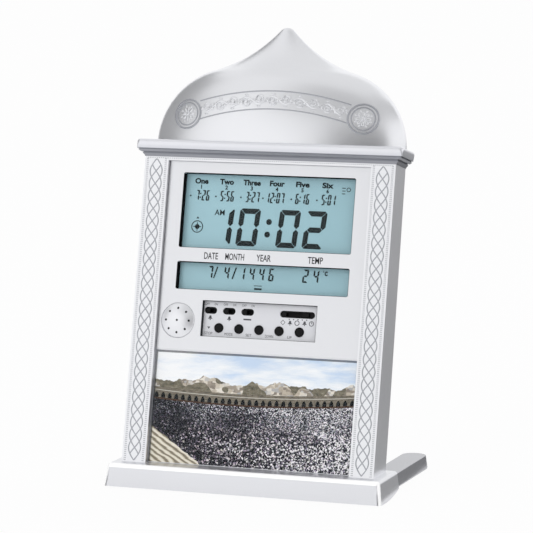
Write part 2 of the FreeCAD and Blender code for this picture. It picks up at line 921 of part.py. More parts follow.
def make_button(index):
    x = button_x(index)
    flange_front = plate_back + behind_plate
    flange_back = flange_front + flange_thickness
    cap = rod(button_radius, x, button_z, button_front, flange_back)
    rim = [e for e in cap.Edges if abs(e.CenterOfMass.y - button_front) < same]
    cap = cap.makeFillet(button_edge, rim)
    flange = rod(flange_radius, x, button_z, flange_front, flange_back)
    stem = rod(stem_radius, x, button_z, flange_back, flange_back + stem_length)
    return fuse_all([cap, flange, stem])


def make_tact_switches():
    front = switch_board_front - tact_height
    half = tact_size / 2
    stem_end = plate_back + behind_plate + flange_thickness + stem_length
    bodies = []
    for index in range(button_count):
        x = button_x(index)
        body = block(x - half, x + half, front, switch_board_front, button_z - half, button_z + half)
        well = rod(tact_hole_radius, x, button_z, 0, stem_end + button_travel + seat)
        bodies.append(body.cut(well))
    return Part.makeCompound(bodies)


def slider_body(x, length, travel, width):
    half = length / 2 + slider_body_margin
    tall = slider_body_height / 2
    front = plate_back + seat
    body = block(x - half, x + half, front, switch_board_front, slide_z - tall, slide_z + tall)
    reach = (travel + width) / 2 + knob_gap
    drop = knob_height / 2 + knob_gap
    channel = block(x - reach, x + reach, 0, front + slider_channel_depth, slide_z - drop, slide_z + drop)
    return body.cut(channel)


def slider_knob(x, width):
    front = wall_back - knob_stand
    back = plate_back + seat + slider_channel_depth - knob_gap
    tall = knob_height / 2
    knob = block(x - width / 2, x + width / 2, front, back, slide_z - tall, slide_z + tall)
    rim = [e for e in knob.Edges if abs(e.CenterOfMass.y - front) < same]
    return knob.makeFillet(knob_edge, rim)


def make_slide_switches():
    places = [switch_x(index) for index in range(switch_count)]
    return Part.makeCompound([slider_body(x, slot_length, knob_travel, knob_width) for x in places])


def make_slide_knob(index):
    return slider_knob(switch_x(index) - knob_travel / 2, knob_width)


def selector_travel():
    return (selector_positions - 1) * selector_pitch


def make_selector_switch():
    return slider_body(selector_x, selector_slot_length, selector_travel(), selector_knob_width)


def make_selector_knob():
    return slider_knob(selector_x + selector_travel() / 2, selector_knob_width)


def make_switch_board():
    half = switch_board_half
    back = switch_board_front + board_thickness
    board = block(-half, half, switch_board_front, back, switch_board_bottom, switch_board_top)
    holes = []
    for side in (-1, 1):
        x = side * switch_board_screw_x
        holes.append(rod(screw_radius + screw_clear_gap, x, switch_board_screw_z, 0, through))
    return board.cut(holes)


# ---- speaker ----
def grille_cap(radius, rise, front):
    """A shallow dome towards the viewer on a short cylinder that ends at the flange's back."""
    ball_radius = (radius**2 + rise**2) / (2 * rise)
    ball = Part.makeSphere(ball_radius, Vector(speaker_x, front + ball_radius, speaker_z))
    return ball.common(rod(radius, speaker_x, speaker_z, -through, wall_back))


def make_speaker_grille():
    front = panel_recess - grille_rise
    outer = grille_cap(grille_radius, grille_rise, front)
    base = rod(grille_radius, speaker_x, speaker_z, panel_recess, wall_back)
    flange = rod(grille_radius + grille_flange, speaker_x, speaker_z, panel_back + seat / 2, wall_back)
    inner = grille_cap(grille_radius - grille_wall, grille_rise, front + grille_wall)
    bore = rod(grille_radius - grille_wall, speaker_x, speaker_z, panel_recess + grille_wall, wall_back)
    holes = [rod(grille_hole_radius, speaker_x, speaker_z, -through, wall_back)]
    for index in range(grille_ring_count):
        turn = math.radians(index * 360 / grille_ring_count)
        x = speaker_x + grille_ring_radius * math.cos(turn)
        z = speaker_z + grille_ring_radius * math.sin(turn)
        holes.append(rod(grille_hole_radius, x, z, -through, wall_back))
    return outer.fuse([base, flange]).cut([inner, bore] + holes).removeSplitter()


def speaker_back():
    return wall_back + speaker_rim + speaker_depth


def make_speaker_basket():
    rim = wall_back + speaker_rim
    inner = speaker_radius - 2 * basket_wall
    back = speaker_back()
    profile = [
        (wall_back, inner),
        (wall_back, speaker_radius),
        (rim, speaker_radius),
        (rim, inner + basket_wall),
        (back, magnet_radius + basket_wall),
        (back, basket_opening),
        (back - basket_wall, basket_opening),
        (back - basket_wall, magnet_radius),
        (rim - basket_wall / 2, inner),
    ]
    return turned(profile, speaker_x, speaker_z)


def make_speaker_cone():
    rim = speaker_radius - 2 * basket_wall
    front = wall_back + cone_wall
    deep = front + cone_depth
    profile = [
        (front, rim),
        (front + cone_wall, rim),
        (deep + cone_wall, voice_coil_radius),
        (deep + cone_wall, 0),
        (deep, 0),
        (deep, voice_coil_radius),
    ]
    cone = turned(profile, speaker_x, speaker_z)
    coil = rod(voice_coil_radius, speaker_x, speaker_z, deep + cone_wall, speaker_back() + cone_wall)
    core = rod(voice_coil_radius - cone_wall, speaker_x, speaker_z, deep + cone_wall, through)
    return cone.fuse(coil.cut(core))


def make_speaker_magnet():
    body = rod(magnet_radius, speaker_x, speaker_z, speaker_back(), speaker_back() + magnet_depth)
    slot = rod(basket_opening, speaker_x, speaker_z, 0, speaker_back() + 2 * cone_wall)
    return body.cut(slot)


# ---- inner leads ----
def lead(points):
    """A wire along straight runs with an arc at each corner."""
    corners = [Vector(*p) for p in points]
    edges = []
    start = corners[0]
    for before, corner, after in zip(corners, corners[1:], corners[2:]):
        way_in = corner.sub(before).normalize()
        way_out = after.sub(corner).normalize()
        turn = way_in.getAngle(way_out)
        cut = lead_bend * math.tan(turn / 2)
        first = corner.sub(Vector(way_in).multiply(cut))
        last = corner.add(Vector(way_out).multiply(cut))
        bisector = Vector(way_out).sub(way_in).normalize()
        centre = corner.add(Vector(bisector).multiply(lead_bend / math.cos(turn / 2)))
        middle = centre.sub(Vector(bisector).multiply(lead_bend))
        edges.append(Part.makeLine(start, first))
        edges.append(Part.Arc(first, middle, last).toShape())
        start = last
    edges.append(Part.makeLine(start, corners[-1]))
    path = Part.Wire(edges)
    way = corners[1].sub(corners[0]).normalize()
    ring = Part.Wire(Part.makeCircle(lead_radius, corners[0], way))
    return path.makePipeShell([ring], True, False)


def make_speaker_leads():
    y = speaker_back() + magnet_depth + lead_radius
    leads = []
    for side in (-1, 1):
        x = speaker_x - side * lead_pitch
        end = x + speaker_lead_run
        top = frame_bottom + board_margin + speaker_lead_landing + side * lead_pitch
        leads.append(lead([(x, y, speaker_z), (x, y, top), (end, y, top), (end, main_board_back, top)]))
    return Part.makeCompound(leads)


def make_battery_leads():
    leads = []
    well_top = well_bottom + well_height + well_wall
    board_z = frame_bottom + board_margin + battery_lead_landing
    y = switch_board_front + board_thickness + battery_lead_clear
    for side in (-1, 1):
        x = well_half - battery_lead_inset + side * lead_pitch
        leads.append(lead([(x, y, well_top), (x, y, board_z), (x, main_board_back, board_z)]))
    return Part.makeCompound(leads)


def make_board_ribbon():
    low = switch_board_front + board_thickness
    z0 = switch_board_top - ribbon_landing
    z1 = frame_bottom + board_margin + ribbon_landing
    rise = low + ribbon_rise
    inside = rise - ribbon_thickness
    outside = [(low, z0), (rise, z0), (rise, z1), (main_board_back, z1)]
    upper = z1 - ribbon_thickness
    lower = z0 + ribbon_thickness
    inner = [(main_board_back, upper), (inside, upper), (inside, lower), (low, lower)]
    return prism_x(outside + inner, ribbon_x - ribbon_width / 2, ribbon_x + ribbon_width / 2)


# ---- stand, in its own frame ----
def bar_block():
    toe = (bar_front_rake, -bar_front_height)
    heel = (bar_depth, -bar_rear_height)
    sag = ((toe[0] + heel[0]) / 2, (toe[1] + heel[1]) / 2 - bar_belly)
    half = bar_half_top + bar_end_flare * 2
    corners = [Vector(-half, y, z) for y, z in (toe, sag, heel)]
    front = Part.makeLine(Vector(-half, 0, 0), corners[0])
    under = Part.Arc(*corners).toShape()
    rear = Part.makeLine(corners[2], Vector(-half, bar_depth, 0))
    top = Part.makeLine(Vector(-half, bar_depth, 0), Vector(-half, 0, 0))
    body = Part.Face(Part.Wire([front, under, rear, top])).extrude(Vector(2 * half, 0, 0))
    return body.common(end_trapezoid())


def end_x(depth):
    """Half length of the bar at a depth below its top."""
    return bar_half_top + bar_end_flare * depth / bar_front_height


def end_trapezoid():
    deep = bar_front_height + bar_heel
    wide = end_x(deep)
    return prism_y([(-bar_half_top, 0), (bar_half_top, 0), (wide, -deep), (-wide, -deep)], -through, through)


def make_bar_outer():
    body = bar_block()
    nose = []
    corners = []
    for edge in body.Edges:
        middle = edge.CenterOfMass
        if abs(middle.z) < same and (abs(middle.y) < same or abs(abs(middle.x) - bar_half_top) < same):
            nose.append(edge)
        if abs(middle.y - bar_front_rake / 2) < same and abs(middle.x) > bar_half_top:
            corners.append(edge)
    body = body.makeFillet(bar_nose, nose + corners)
    heel = []
    for edge in body.Edges:
        middle = edge.CenterOfMass
        if abs(middle.y - bar_depth) < same and abs(middle.z + bar_rear_height) < same:
            heel.append(edge)
    return body.makeFillet(bar_heel, heel)


def bar_front(depth):
    """Place of the bar's front face at a depth below its top."""
    return bar_front_rake * depth / bar_front_height


def bar_hollow(gap):
    half = bar_half_top - bar_wall - gap
    deep = 2 * bar_front_height
    front = bar_wall + gap
    rear = bar_depth - bar_wall - gap
    high = (front + bar_front(bar_wall), -bar_wall)
    low = (front + bar_front(deep), -deep)
    return prism_x([high, (rear, -bar_wall), (rear, -deep), low], -half, half)


def make_stand_bar():
    outer = make_bar_outer()
    body = outer.cut(bar_hollow(0))
    bosses = []
    holes = []
    for x in underside_screw_xs:
        boss = post(boss_radius, x, underside_screw_y, -through, -bar_wall)
        bosses.append(boss.cut(below_underside_seat()))
        holes.append(post(screw_radius + screw_pilot_gap, x, underside_screw_y, -through, -bar_wall))
    for side in (-1, 1):
        y = case_setback + stand_screw_setback
        holes.append(post(screw_radius + screw_clear_gap, side * stand_screw_x, y, -through, through))
        start = bar_depth - 2 * bar_wall
        for x in leg_screw_xs(side):
            holes.append(rod(screw_radius + screw_clear_gap, x, -leg_screw_drop, start, through))
    return body.fuse(bosses).cut(holes).removeSplitter()


def underside_seat(y):
    """Height of the closing plate's inner face, which slopes as the bar's underside does."""
    rise = (bar_front_height - bar_rear_height) / (bar_depth - bar_front_rake)
    return -bar_front_height + underside_thickness + (y - bar_front_rake) * rise


def below_underside_seat():
    ends = [(y, underside_seat(y)) for y in (-through, through)]
    return prism_x(ends + [(through, -through), (-through, -through)], -through, through)


def underside_head():
    return underside_seat(underside_screw_y) - underside_thickness / 2


def make_stand_underside():
    plate = make_bar_outer().common(bar_hollow(cover_gap)).common(below_underside_seat())
    holes = []
    y = underside_screw_y
    for x in underside_screw_xs:
        holes.append(post(screw_radius + screw_clear_gap, x, y, -through, through))
        holes.append(post(screw_head_radius + screw_clear_gap, x, y, -through, underside_head()))
    for side in (-1, 1):
        holes.append(foot_pocket(side * bar_foot_x, bar_foot_y))
    return plate.cut(holes)


def make_underside_screws():
    places = [(x, underside_screw_y, underside_head()) for x in underside_screw_xs]
    return Part.makeCompound([screw(*place, screw_grip, z_axis) for place in places])


def make_stand_screws():
    y = case_setback + stand_screw_setback
    screws = []
    for side in (-1, 1):
        screws.append(screw(side * stand_screw_x, y, -bar_wall, bar_wall + screw_grip, Vector(0, 0, 1)))
    return Part.makeCompound(screws)


def leg_screw_xs(side):
    middle = side * (bar_half_top - leg_width / 2)
    return (middle - leg_screw_spread / 2, middle + leg_screw_spread / 2)


def make_leg_screws():
    screws = []
    for side in (-1, 1):
        for x in leg_screw_xs(side):
            screws.append(screw(x, bar_depth - bar_wall, -leg_screw_drop, screw_grip, Vector(0, 1, 0)))
    return Part.makeCompound(screws)


def make_stand_leg(side):
    inner_x = bar_half_top - leg_width
    profile = [
        (bar_depth, -leg_drop),
        (leg_reach - leg_tip_slant, -leg_drop),
        (leg_reach, -leg_height),
        (bar_depth, -leg_height),
    ]
    leg = prism_x(profile, inner_x, through).common(end_trapezoid())
    leg = leg.makeFillet(leg_tip_radius, [e for e in leg.Edges if leg_tip_corner(e)])
    for height, radius in ((-leg_drop, leg_top_edge), (-leg_height, leg_low_edge)):
        leg = leg.makeFillet(radius, [e for e in leg.Edges if leg_rim(e, height)])
    hollow_end = leg_reach - leg_tip_solid
    hollow_start = bar_depth + leg_root
    under_top = -leg_drop - leg_wall
    hollow = block(inner_x + leg_wall, bar_half_top - leg_wall, hollow_start, hollow_end, -through, under_top)
    cuts = [hollow, foot_pocket(leg_foot_x(), leg_foot_y)]
    for x in leg_screw_xs(1):
        cuts.append(rod(screw_radius + screw_pilot_gap, x, -leg_screw_drop, 0, bar_depth + screw_grip))
    leg = leg.cut(cuts)
    return leg if side > 0 else mirrored(leg)


def leg_tip_corner(edge):
    return edge.CenterOfMass.y > leg_reach - leg_tip_slant and not runs_along(edge, x_axis)


def leg_rim(edge, height):
    box = edge.BoundBox
    level = abs(box.ZMin - height) < same and abs(box.ZMax - height) < same
    return level and edge.CenterOfMass.y > bar_depth + same


def leg_foot_x():
    return bar_half_top - leg_width / 2


def foot_pocket(x, y):
    pocket = post(foot_radius + foot_gap, x, y, -through, foot_height)
    return moved(pocket, stand_frame.inverse())


def make_rubber_feet():
    feet = []
    for side in (-1, 1):
        feet.append(post(foot_radius, side * bar_foot_x, bar_foot_y, 0, foot_height))
        feet.append(post(foot_radius, side * leg_foot_x(), leg_foot_y, 0, foot_height))
    return Part.makeCompound([moved(foot, stand_frame.inverse()) for foot in feet])


# ---- the parts by frame ----
clock_parts = {
    "front_case": make_front_case(),
    "face_panel": make_face_panel(),
    "picture_cover": make_picture_cover(),
    "picture_card": make_picture_card(),
    "cornice": make_cornice(),
    "dome_shell": make_dome_shell(),
    "rear_cover": make_rear_cover(),
    "battery_door": make_battery_door(),
    "battery_cells": make_battery_cells(),
    "battery_contacts": make_battery_contacts(),
    "battery_springs": make_battery_springs(),
    "dc_jack": make_dc_jack(),
    "cover_screws": make_cover_screws(),
    "display_lens": make_display_lens(),
    "lcd_front_glass": make_lcd_front_glass(),
    "lcd_rear_glass": make_lcd_rear_glass(),
    "lcd_frame": make_lcd_frame(),
    "backlight": make_backlight(),
    "zebra_strip": make_zebra_strip(),
    "main_board": make_main_board(),
    "clock_chip": make_clock_chip(),
    "sound_chip": make_sound_chip(),
    "quartz_crystal": make_quartz_crystal(),
    "capacitors": make_capacitors(),
    "temperature_sensor": make_temperature_sensor(),
    "board_screws": make_board_screws(),
    "control_plate": make_control_plate(),
    "tact_switches": make_tact_switches(),
    "slide_switches": make_slide_switches(),
    "selector_switch": make_selector_switch(),
    "selector_knob": make_selector_knob(),
    "switch_board": make_switch_board(),
    "board_ribbon": make_board_ribbon(),
    "speaker_grille": make_speaker_grille(),
    "speaker_basket": make_speaker_basket(),
    "speaker_cone": make_speaker_cone(),
    "speaker_magnet": make_speaker_magnet(),
    "speaker_leads": make_speaker_leads(),
    "battery_leads": make_battery_leads(),
}
for index in range(button_count):
    clock_parts[f"button_{index + 1}"] = make_button(index)
for index in range(switch_count):
    clock_parts[f"slide_knob_{index + 1}"] = make_slide_knob(index)

stand_parts = {
    "stand_bar": make_stand_bar(),
    "stand_underside": make_stand_underside(),
    "stand_leg_left": make_stand_leg(-1),
    "stand_leg_right": make_stand_leg(1),
    "stand_screws": make_stand_screws(),
    "underside_screws": make_underside_screws(),
    "leg_screws": make_leg_screws(),
    "rubber_feet": make_rubber_feet(),
}

# ---- set up on the table, with the origin under the middle of the whole clock ----
parts = {name: moved(shape, clock_frame) for name, shape in clock_parts.items()}
parts.update({name: moved(shape, stand_frame) for name, shape in stand_parts.items()})
overall = Part.makeCompound(list(parts.values())).optimalBoundingBox(False, False)
centring = Placement(Vector(0, -(overall.YMin + overall.YMax) / 2, -overall.ZMin), Rotation())

os.makedirs("parts", exist_ok=True)
for name, shape in parts.items():
    moved(shape, centring).exportStep(f"parts/{name}.step")

# ---- places that the mounts and joints use ----
clock_home = centring.multiply(clock_frame)
rear_home = clock_home.multiply(rear_frame)
print("overall", round(overall.XLength, 2), round(overall.YLength, 2), round(overall.ZLength, 2))
print("into the case", clock_home.Rotation.multVec(y_axis))
print("hanger", clock_home.multVec(Vector(0, back_at(hanger_z) - cover_thickness / 2, hanger_z)))
print("door pivot", rear_home.multVec(Vector(0, -door_thickness / 2, door_low() + door_thickness / 2)))
print("jack mouth", rear_home.multVec(Vector(jack_x, 0, jack_z)), rear_home.Rotation.multVec(y_axis))
print("bar foot", centring.multVec(Vector(bar_foot_x, bar_foot_y, 0)))
print("leg foot", centring.multVec(Vector(leg_foot_x(), leg_foot_y, 0)))
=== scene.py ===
import bmesh
import bpy
import json
from math import atan2, copysign, cos, hypot, pi, radians, sin, sqrt, tan, tau
from mathutils import Matrix, Vector


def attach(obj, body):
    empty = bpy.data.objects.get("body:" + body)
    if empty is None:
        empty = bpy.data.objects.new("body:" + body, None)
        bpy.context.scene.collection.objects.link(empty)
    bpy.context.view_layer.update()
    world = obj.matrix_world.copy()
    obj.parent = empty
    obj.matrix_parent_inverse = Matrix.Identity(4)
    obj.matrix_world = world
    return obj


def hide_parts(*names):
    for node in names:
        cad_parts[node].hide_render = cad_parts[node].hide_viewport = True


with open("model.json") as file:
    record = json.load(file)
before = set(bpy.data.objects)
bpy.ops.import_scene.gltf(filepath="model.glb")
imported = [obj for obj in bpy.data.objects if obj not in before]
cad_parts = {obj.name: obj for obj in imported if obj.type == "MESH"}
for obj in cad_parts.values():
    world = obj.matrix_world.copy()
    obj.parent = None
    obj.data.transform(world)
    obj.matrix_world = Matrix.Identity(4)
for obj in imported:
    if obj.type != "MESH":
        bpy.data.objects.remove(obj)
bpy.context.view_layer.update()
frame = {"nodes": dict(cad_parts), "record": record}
nodes = frame["nodes"]
scene = bpy.context.scene
scene.view_settings.view_transform = "Standard"
print("frame loaded with", len(nodes), "nodes")

# Pieces are drawn in mm in the clock's own frame: x right, y into the case, z up the pillars.
clock = {
    "foot": (0.0, -0.046085, 0.0153),  # zero of that frame, in metres
    "lean": 14.72, "pillarX": 80.0, "panelFront": 3.2, "plateFront": 6.7, "backDepth": 26.31,
    "backTaper": 1.09, "corniceTop": 218.6,
}
lean = radians(clock["lean"])
upright = Matrix.Translation(clock["foot"]) @ Matrix.Rotation(-lean, 4, "X") @ Matrix.Scale(0.001, 4)


class Value:  # a node's output, so that shader maths reads as plain expressions
    def __init__(self, finish, socket):
        self.finish = finish
        self.socket = socket

    def sum(self, operation, first, second=0):
        return self.finish.node("Math", {"operation": operation}, {0: first, 1: second})

    def __add__(self, other):
        return self.sum("ADD", self, other)

    def __radd__(self, other):
        return self.sum("ADD", other, self)

    def __sub__(self, other):
        return self.sum("SUBTRACT", self, other)

    def __rsub__(self, other):
        return self.sum("SUBTRACT", other, self)

    def __mul__(self, other):
        return self.sum("MULTIPLY", self, other)

    def __rmul__(self, other):
        return self.sum("MULTIPLY", other, self)

    def __truediv__(self, other):
        return self.sum("DIVIDE", self, other)

    def __rtruediv__(self, other):
        return self.sum("DIVIDE", other, self)

    def __gt__(self, other):
        return self.sum("GREATER_THAN", self, other)

    def __lt__(self, other):
        return self.sum("LESS_THAN", self, other)


class Finish:  # one material, or the world, built node by node
    def __init__(self, name, owner=None, end="OutputMaterial"):
        self.owner = owner or bpy.data.materials.new(name)
        self.owner.use_nodes = True
        self.end = end
        self.tree = self.owner.node_tree
        self.tree.nodes.clear()

    def node(self, kind, settings=None, inputs=None, output=0):  # text given to an input is a tone
        made = self.tree.nodes.new("ShaderNode" + kind)
        for key, setting in (settings or {}).items():
            setattr(made, key, setting)
        for key, given in (inputs or {}).items():
            if isinstance(given, Value):
                self.tree.links.new(given.socket, made.inputs[key])
            else:
                made.inputs[key].default_value = colour(given) if isinstance(given, str) else given
        return Value(self, made.outputs[output]) if made.outputs else None

    def plain(self, kind, **looks):  # a node from inputs given by name
        inputs = {key.replace("_", " "): look for key, look in looks.items()}
        return self.node(kind, inputs=inputs)

    def spot(self):  # metres, in the frame that all pieces share
        return self.node("TexCoord", output="Object")

    def clockSpot(self):  # mm in the clock's frame
        inputs = {0: self.spot(), 1: clock["foot"]}
        middle = self.node("VectorMath", {"operation": "SUBTRACT"}, inputs)
        return self.plain("Mapping", Vector=middle, Rotation=(lean, 0, 0), Scale=(1000, 1000, 1000))

    def axes(self, place):
        split = self.plain("SeparateXYZ", Vector=place).socket.node
        return [Value(self, socket) for socket in split.outputs]

    def flat(self, across, up, wide=1.0, tall=1.0):  # a place on a flat picture, stretched
        return self.plain("CombineXYZ", X=across * wide, Y=up * tall, Z=0.0)

    def noise(self, place, scale, detail=2.0, rough=0.5):
        return self.plain("TexNoise", Vector=place, Scale=scale, Detail=detail, Roughness=rough)

    def patches(self, across, up, wide, tall, *looks):  # noise on a flat picture
        return self.noise(self.flat(across, up, wide, tall), *looks)

    def cells(self, place, scale, spread, distance="EUCLIDEAN"):
        inputs = {"Vector": place, "Scale": scale, "Randomness": spread}
        return self.node("TexVoronoi", {"distance": distance}, inputs, output=1)

    def mix(self, factor, first, second, blend="MIX"):
        settings = {"data_type": "RGBA", "blend_type": blend}
        return self.node("Mix", settings, {0: factor, 6: first, 7: second}, output=2)

    def ramp(self, factor, stops):
        made = self.plain("ValToRGB", Fac=factor)
        elements = made.socket.node.color_ramp.elements
        for stop, (place, tone) in enumerate(stops):
            element = elements[stop] if stop < len(elements) else elements.new(place)
            element.position = place
            element.color = colour(tone)
        return made

    def bump(self, height, depth, strength=0.4):
        return self.plain("Bump", Height=height, Distance=depth, Strength=strength)

    def done(self, shader):
        self.node(self.end, inputs={"Surface": shader})
        return self.owner

    def surface(self, **looks):
        return self.done(self.plain("BsdfPrincipled", **looks))


def colour(code):  # a screen colour, as hex, in linear light
    parts = [int(code[at:at + 2], 16) / 255 for at in (0, 2, 4)]
    linear = [part / 12.92 if part <= 0.04045 else ((part + 0.055) / 1.055) ** 2.4 for part in parts]
    return (*linear, 1.0)


grainy = {
    "cloudScale": 35.0, "cloudDetail": 3.0, "fineDetail": 2.0, "fineRough": 0.6,
    "roughSpread": 0.16, "coatRoughness": 0.12,
}


def grained(
        name, light, dark, roughness, metallic=0.0, grain=2500.0, depth=0.00004, coat=0.0, cloud=0.5,
        shine=0.5):
    finish = Finish(name)
    place = finish.spot()
    drift = finish.noise(place, grainy["cloudScale"], grainy["cloudDetail"])
    fine = finish.noise(place, grain, grainy["fineDetail"], grainy["fineRough"])
    return finish.surface(
        Base_Color=finish.mix(drift * cloud + fine * (1 - cloud), dark, light),
        Roughness=roughness + (fine - 0.5) * grainy["roughSpread"],
        Metallic=metallic,
        Specular_IOR_Level=shine,
        Coat_Weight=coat,
        Coat_Roughness=grainy["coatRoughness"],
        Normal=finish.bump(fine, depth))


paint = {
    "light": "f5f6f9", "dark": "ebecf0", "metallic": 0.78, "metalSpread": 0.2,
    "roughness": 0.29,
    "cloudRough": 0.06,  # how far clouds and flakes change the roughness
    "flakeRough": 0.04, "coat": 0.2, "coatRoughness": 0.25, "cloudScale": 18.0,
    "flakeScale": 7000.0, "peelScale": 900.0, "peelDepth": 0.00002, "peelStrength": 0.25,
}


def flaked(name):  # a new finish, a place on it and its metal flakes
    finish = Finish(name)
    place = finish.spot()
    return finish, place, finish.noise(place, paint["flakeScale"], 1.0)


# the last two arguments paint a highlight: where that share is 1 the coat goes and the metal drops to the
# given value
def painted(finish, place, tone, flakes, rough, metallic=paint["metallic"], highlight=0.0, highlightMetal=0.0):
    peel = finish.noise(place, paint["peelScale"])
    return finish.surface(
        Base_Color=tone,
        Metallic=(metallic + (flakes - 0.5) * paint["metalSpread"]) * (1.0 - highlight * (1.0 - highlightMetal)),
        Roughness=paint["roughness"] + rough,
        Coat_Weight=(1.0 - highlight) * paint["coat"],
        Coat_Roughness=paint["coatRoughness"],
        Normal=finish.bump(peel, paint["peelDepth"], paint["peelStrength"]))


def silverPaint(name, light, dark, metallic=paint["metallic"]):
    finish, place, flakes = flaked(name)
    drift = finish.noise(place, paint["cloudScale"])
    tone = finish.mix(drift * 0.5 + flakes * 0.5, dark, light)
    return painted(finish, place, tone, flakes, (drift - 0.5) * paint["cloudRough"], metallic)


def ledgeFinish(name):  # the silver of the cornice, with painted shade: darker below its top band and darkest under its two steps
    ledge = {
        "foot": 207.2, "height": 11.4,
        "tones": (
            (0.0, "a2a3a8"), (0.14, "acadb2"), (0.18, "8e9096"), (0.26, "94969c"), (0.28, "b2b3b8"),
            (0.36, "b2b3b8"), (0.39, "9a9ca2"), (0.44, "a0a2a8"), (0.46, "e8e9ec"), (0.7, "fafafc")),
    }
    finish, place, flakes = flaked(name)
    rise = finish.axes(finish.clockSpot())[2]
    shade = finish.ramp((rise - ledge["foot"]) / ledge["height"], ledge["tones"])
    silverTone = finish.mix(flakes, paint["dark"], paint["light"])
    tone = finish.mix(1.0, silverTone, shade, "MULTIPLY")
    return painted(finish, place, tone, flakes, (flakes - 0.5) * paint["flakeRough"])


def barFinish(name):  # the silver of the bar, with a painted highlight: white, with less metal and no coat, where its front edges would catch the light
    stand = {
        "top": 15.3, "front": -55.36,
        "rake": 0.2185,  # way forward and outward for each mm down
        "flare": 0.1258, "half": 95.2, "rim": 1.7, "nose": 2.2, "light": "e9eaee",
        # the edge tone is the white of the painted highlight, and edgeMetal its metal
        "dark": "e0e1e5", "edge": "ffffff", "edgeMetal": 0.1,
    }
    finish, place, flakes = flaked(name)
    x, y, z = finish.axes(place)
    side = x.sum("ABSOLUTE", x * 1000)
    below = stand["top"] - z * 1000
    near = (y * 1000 - stand["front"] + below * stand["rake"]) < stand["nose"]
    top = (below < stand["rim"]) * near
    corner = (side > (below * stand["flare"] + (stand["half"] - stand["rim"]))) * near
    # the painted highlight lies along the top front edge and both front corners
    edge = top.sum("MAXIMUM", top, corner)
    face = finish.mix(flakes, stand["dark"], stand["light"])
    tone = finish.mix(edge, face, stand["edge"])
    rough = (flakes - 0.5) * paint["flakeRough"]
    return painted(finish, place, tone, flakes, rough, highlight=edge, highlightMetal=stand["edgeMetal"])


def clearSheet(name):
    sheet = {
        "tint": "8a9498", "alpha": 0.03, "alphaSpread": 0.02, "roughness": 0.06,
        "roughSpread": 0.05, "bending": 1.49, "smear": (60.0, 3.0),
    }
    finish = Finish(name)
    smear = finish.noise(finish.spot(), *sheet["smear"])
    return finish.surface(
        Base_Color=sheet["tint"],
        Alpha=sheet["alpha"] + (smear - 0.5) * sheet["alphaSpread"],
        Roughness=sheet["roughness"] + smear * sheet["roughSpread"],
        IOR=sheet["bending"])


def displayGlass(name):
    glass = {
        "left": "a2c9d3", "right": "99c0ca", "grain": "8ab1bc", "half": 62.0,
        "pixels": (1.6, 2.0, 0.7), "pixelShare": 0.22, "roughness": 0.32, "roughSpread": 0.1,
    }
    finish = Finish(name)
    place = finish.clockSpot()
    across = (finish.axes(place)[0] + glass["half"]) / (2 * glass["half"])
    pixels = finish.noise(place, *glass["pixels"])
    ground = finish.mix(across, glass["left"], glass["right"])
    return finish.surface(
        Base_Color=finish.mix(pixels * glass["pixelShare"], ground, glass["grain"]),
        Roughness=glass["roughness"] + pixels * glass["roughSpread"])


silver = silverPaint("silverPaint", paint["light"], paint["dark"])
# painted shade: a darker copy of the silver for the dome's band and rings, the pillars' braid and the beads
shadedReliefSilver = silverPaint("shadedSilver", "b6b8be", "a6a8af", 0.6)
faceSilver = silverPaint("faceSilver", "ecedf0", "e2e3e7")
grilleSilver = silverPaint("grilleSilver", "f1f2f5", "e7e8ec", 0.55)
# painted shade: a darker copy of the silver for the legs, which lie in the case's shade
legSilver = silverPaint("legSilver", "b3b4b9", "a9aab0")
ledgeSilver = ledgeFinish("ledgeSilver")
barSilver = barFinish("barSilver")
blackPlastic = grained("blackPlastic", "0f0f11", "050507", 0.42, grain=3000.0, shine=0.2)
inkBlack = grained("displayInk", "232b2c", "182021", 0.6, shine=0.05)
printBlack = grained("printInk", "29292d", "1c1c20", 0.5, shine=0.2)
printGrey = grained("printGreyInk", "57585d", "47484c", 0.5, shine=0.2)
# painted shade: near black, for the walls of the two display windows and inside the grille's holes
shadeBlack = grained("windowLining", "1b1d1f", "101213", 0.8, shine=0.0)
# painted shade: dark grey, for the walls of the control recess
shadowGrey = grained("recessLining", "3c3e42", "2c2e31", 0.8, shine=0.0)
slotFinish = {
    "case_silver": silver,
    "back_plastic": grained("backGrey", "c6c7cb", "bcbdc2", 0.55, grain=1800.0, depth=0.00008),
    "clear_plastic": clearSheet("clearAcrylic"),
    "lcd_glass": displayGlass("displayGlass"),
    "backlight_plastic": grained("milkyGuide", "c9dfe3", "bcd2d6", 0.5),
    "frame_plastic": grained("framePlastic", "26282b", "1a1b1e", 0.5),
    "strip_rubber": grained("stripRubber", "c4beb8", "8a8580", 0.7, cloud=0.2),
    "circuit_board": grained("boardGreen", "1d6b3b", "14502b", 0.45, coat=0.3),
    "control_grey": grained("plateGrey", "dddee2", "d0d1d6", 0.5, grain=1500.0, cloud=0.35),
    "knob_black": blackPlastic,
    "switch_body": grained("switchBody", "161618", "0d0d0f", 0.5, shine=0.2),
    "ribbon_plastic": grained("ribbonPlastic", "b9b9bd", "8f9095", 0.5, cloud=0.7),
    "lead_plastic": grained("leadPlastic", "9d2a26", "7c1f1c", 0.5),
    "plated_steel": grained("platedSteel", "c9ccd1", "aeb1b7", 0.28, 0.95, grain=900.0),
    "can_aluminium": grained("canAluminium", "d0d2d6", "b8babe", 0.3, 0.9),
    "cell_can": grained("cellSleeve", "33363c", "24262b", 0.35, 0.3, coat=0.4),
    "cone_paper": grained("conePaper", "141211", "0b0a0a", 0.9, depth=0.0001, shine=0.1),
    "magnet_ferrite": grained("magnetFerrite", "4a4a4d", "353538", 0.6),
    "foot_rubber": grained("footRubber", "2a2a2c", "1c1c1e", 0.85, depth=0.0001),
}
print("finishes made")

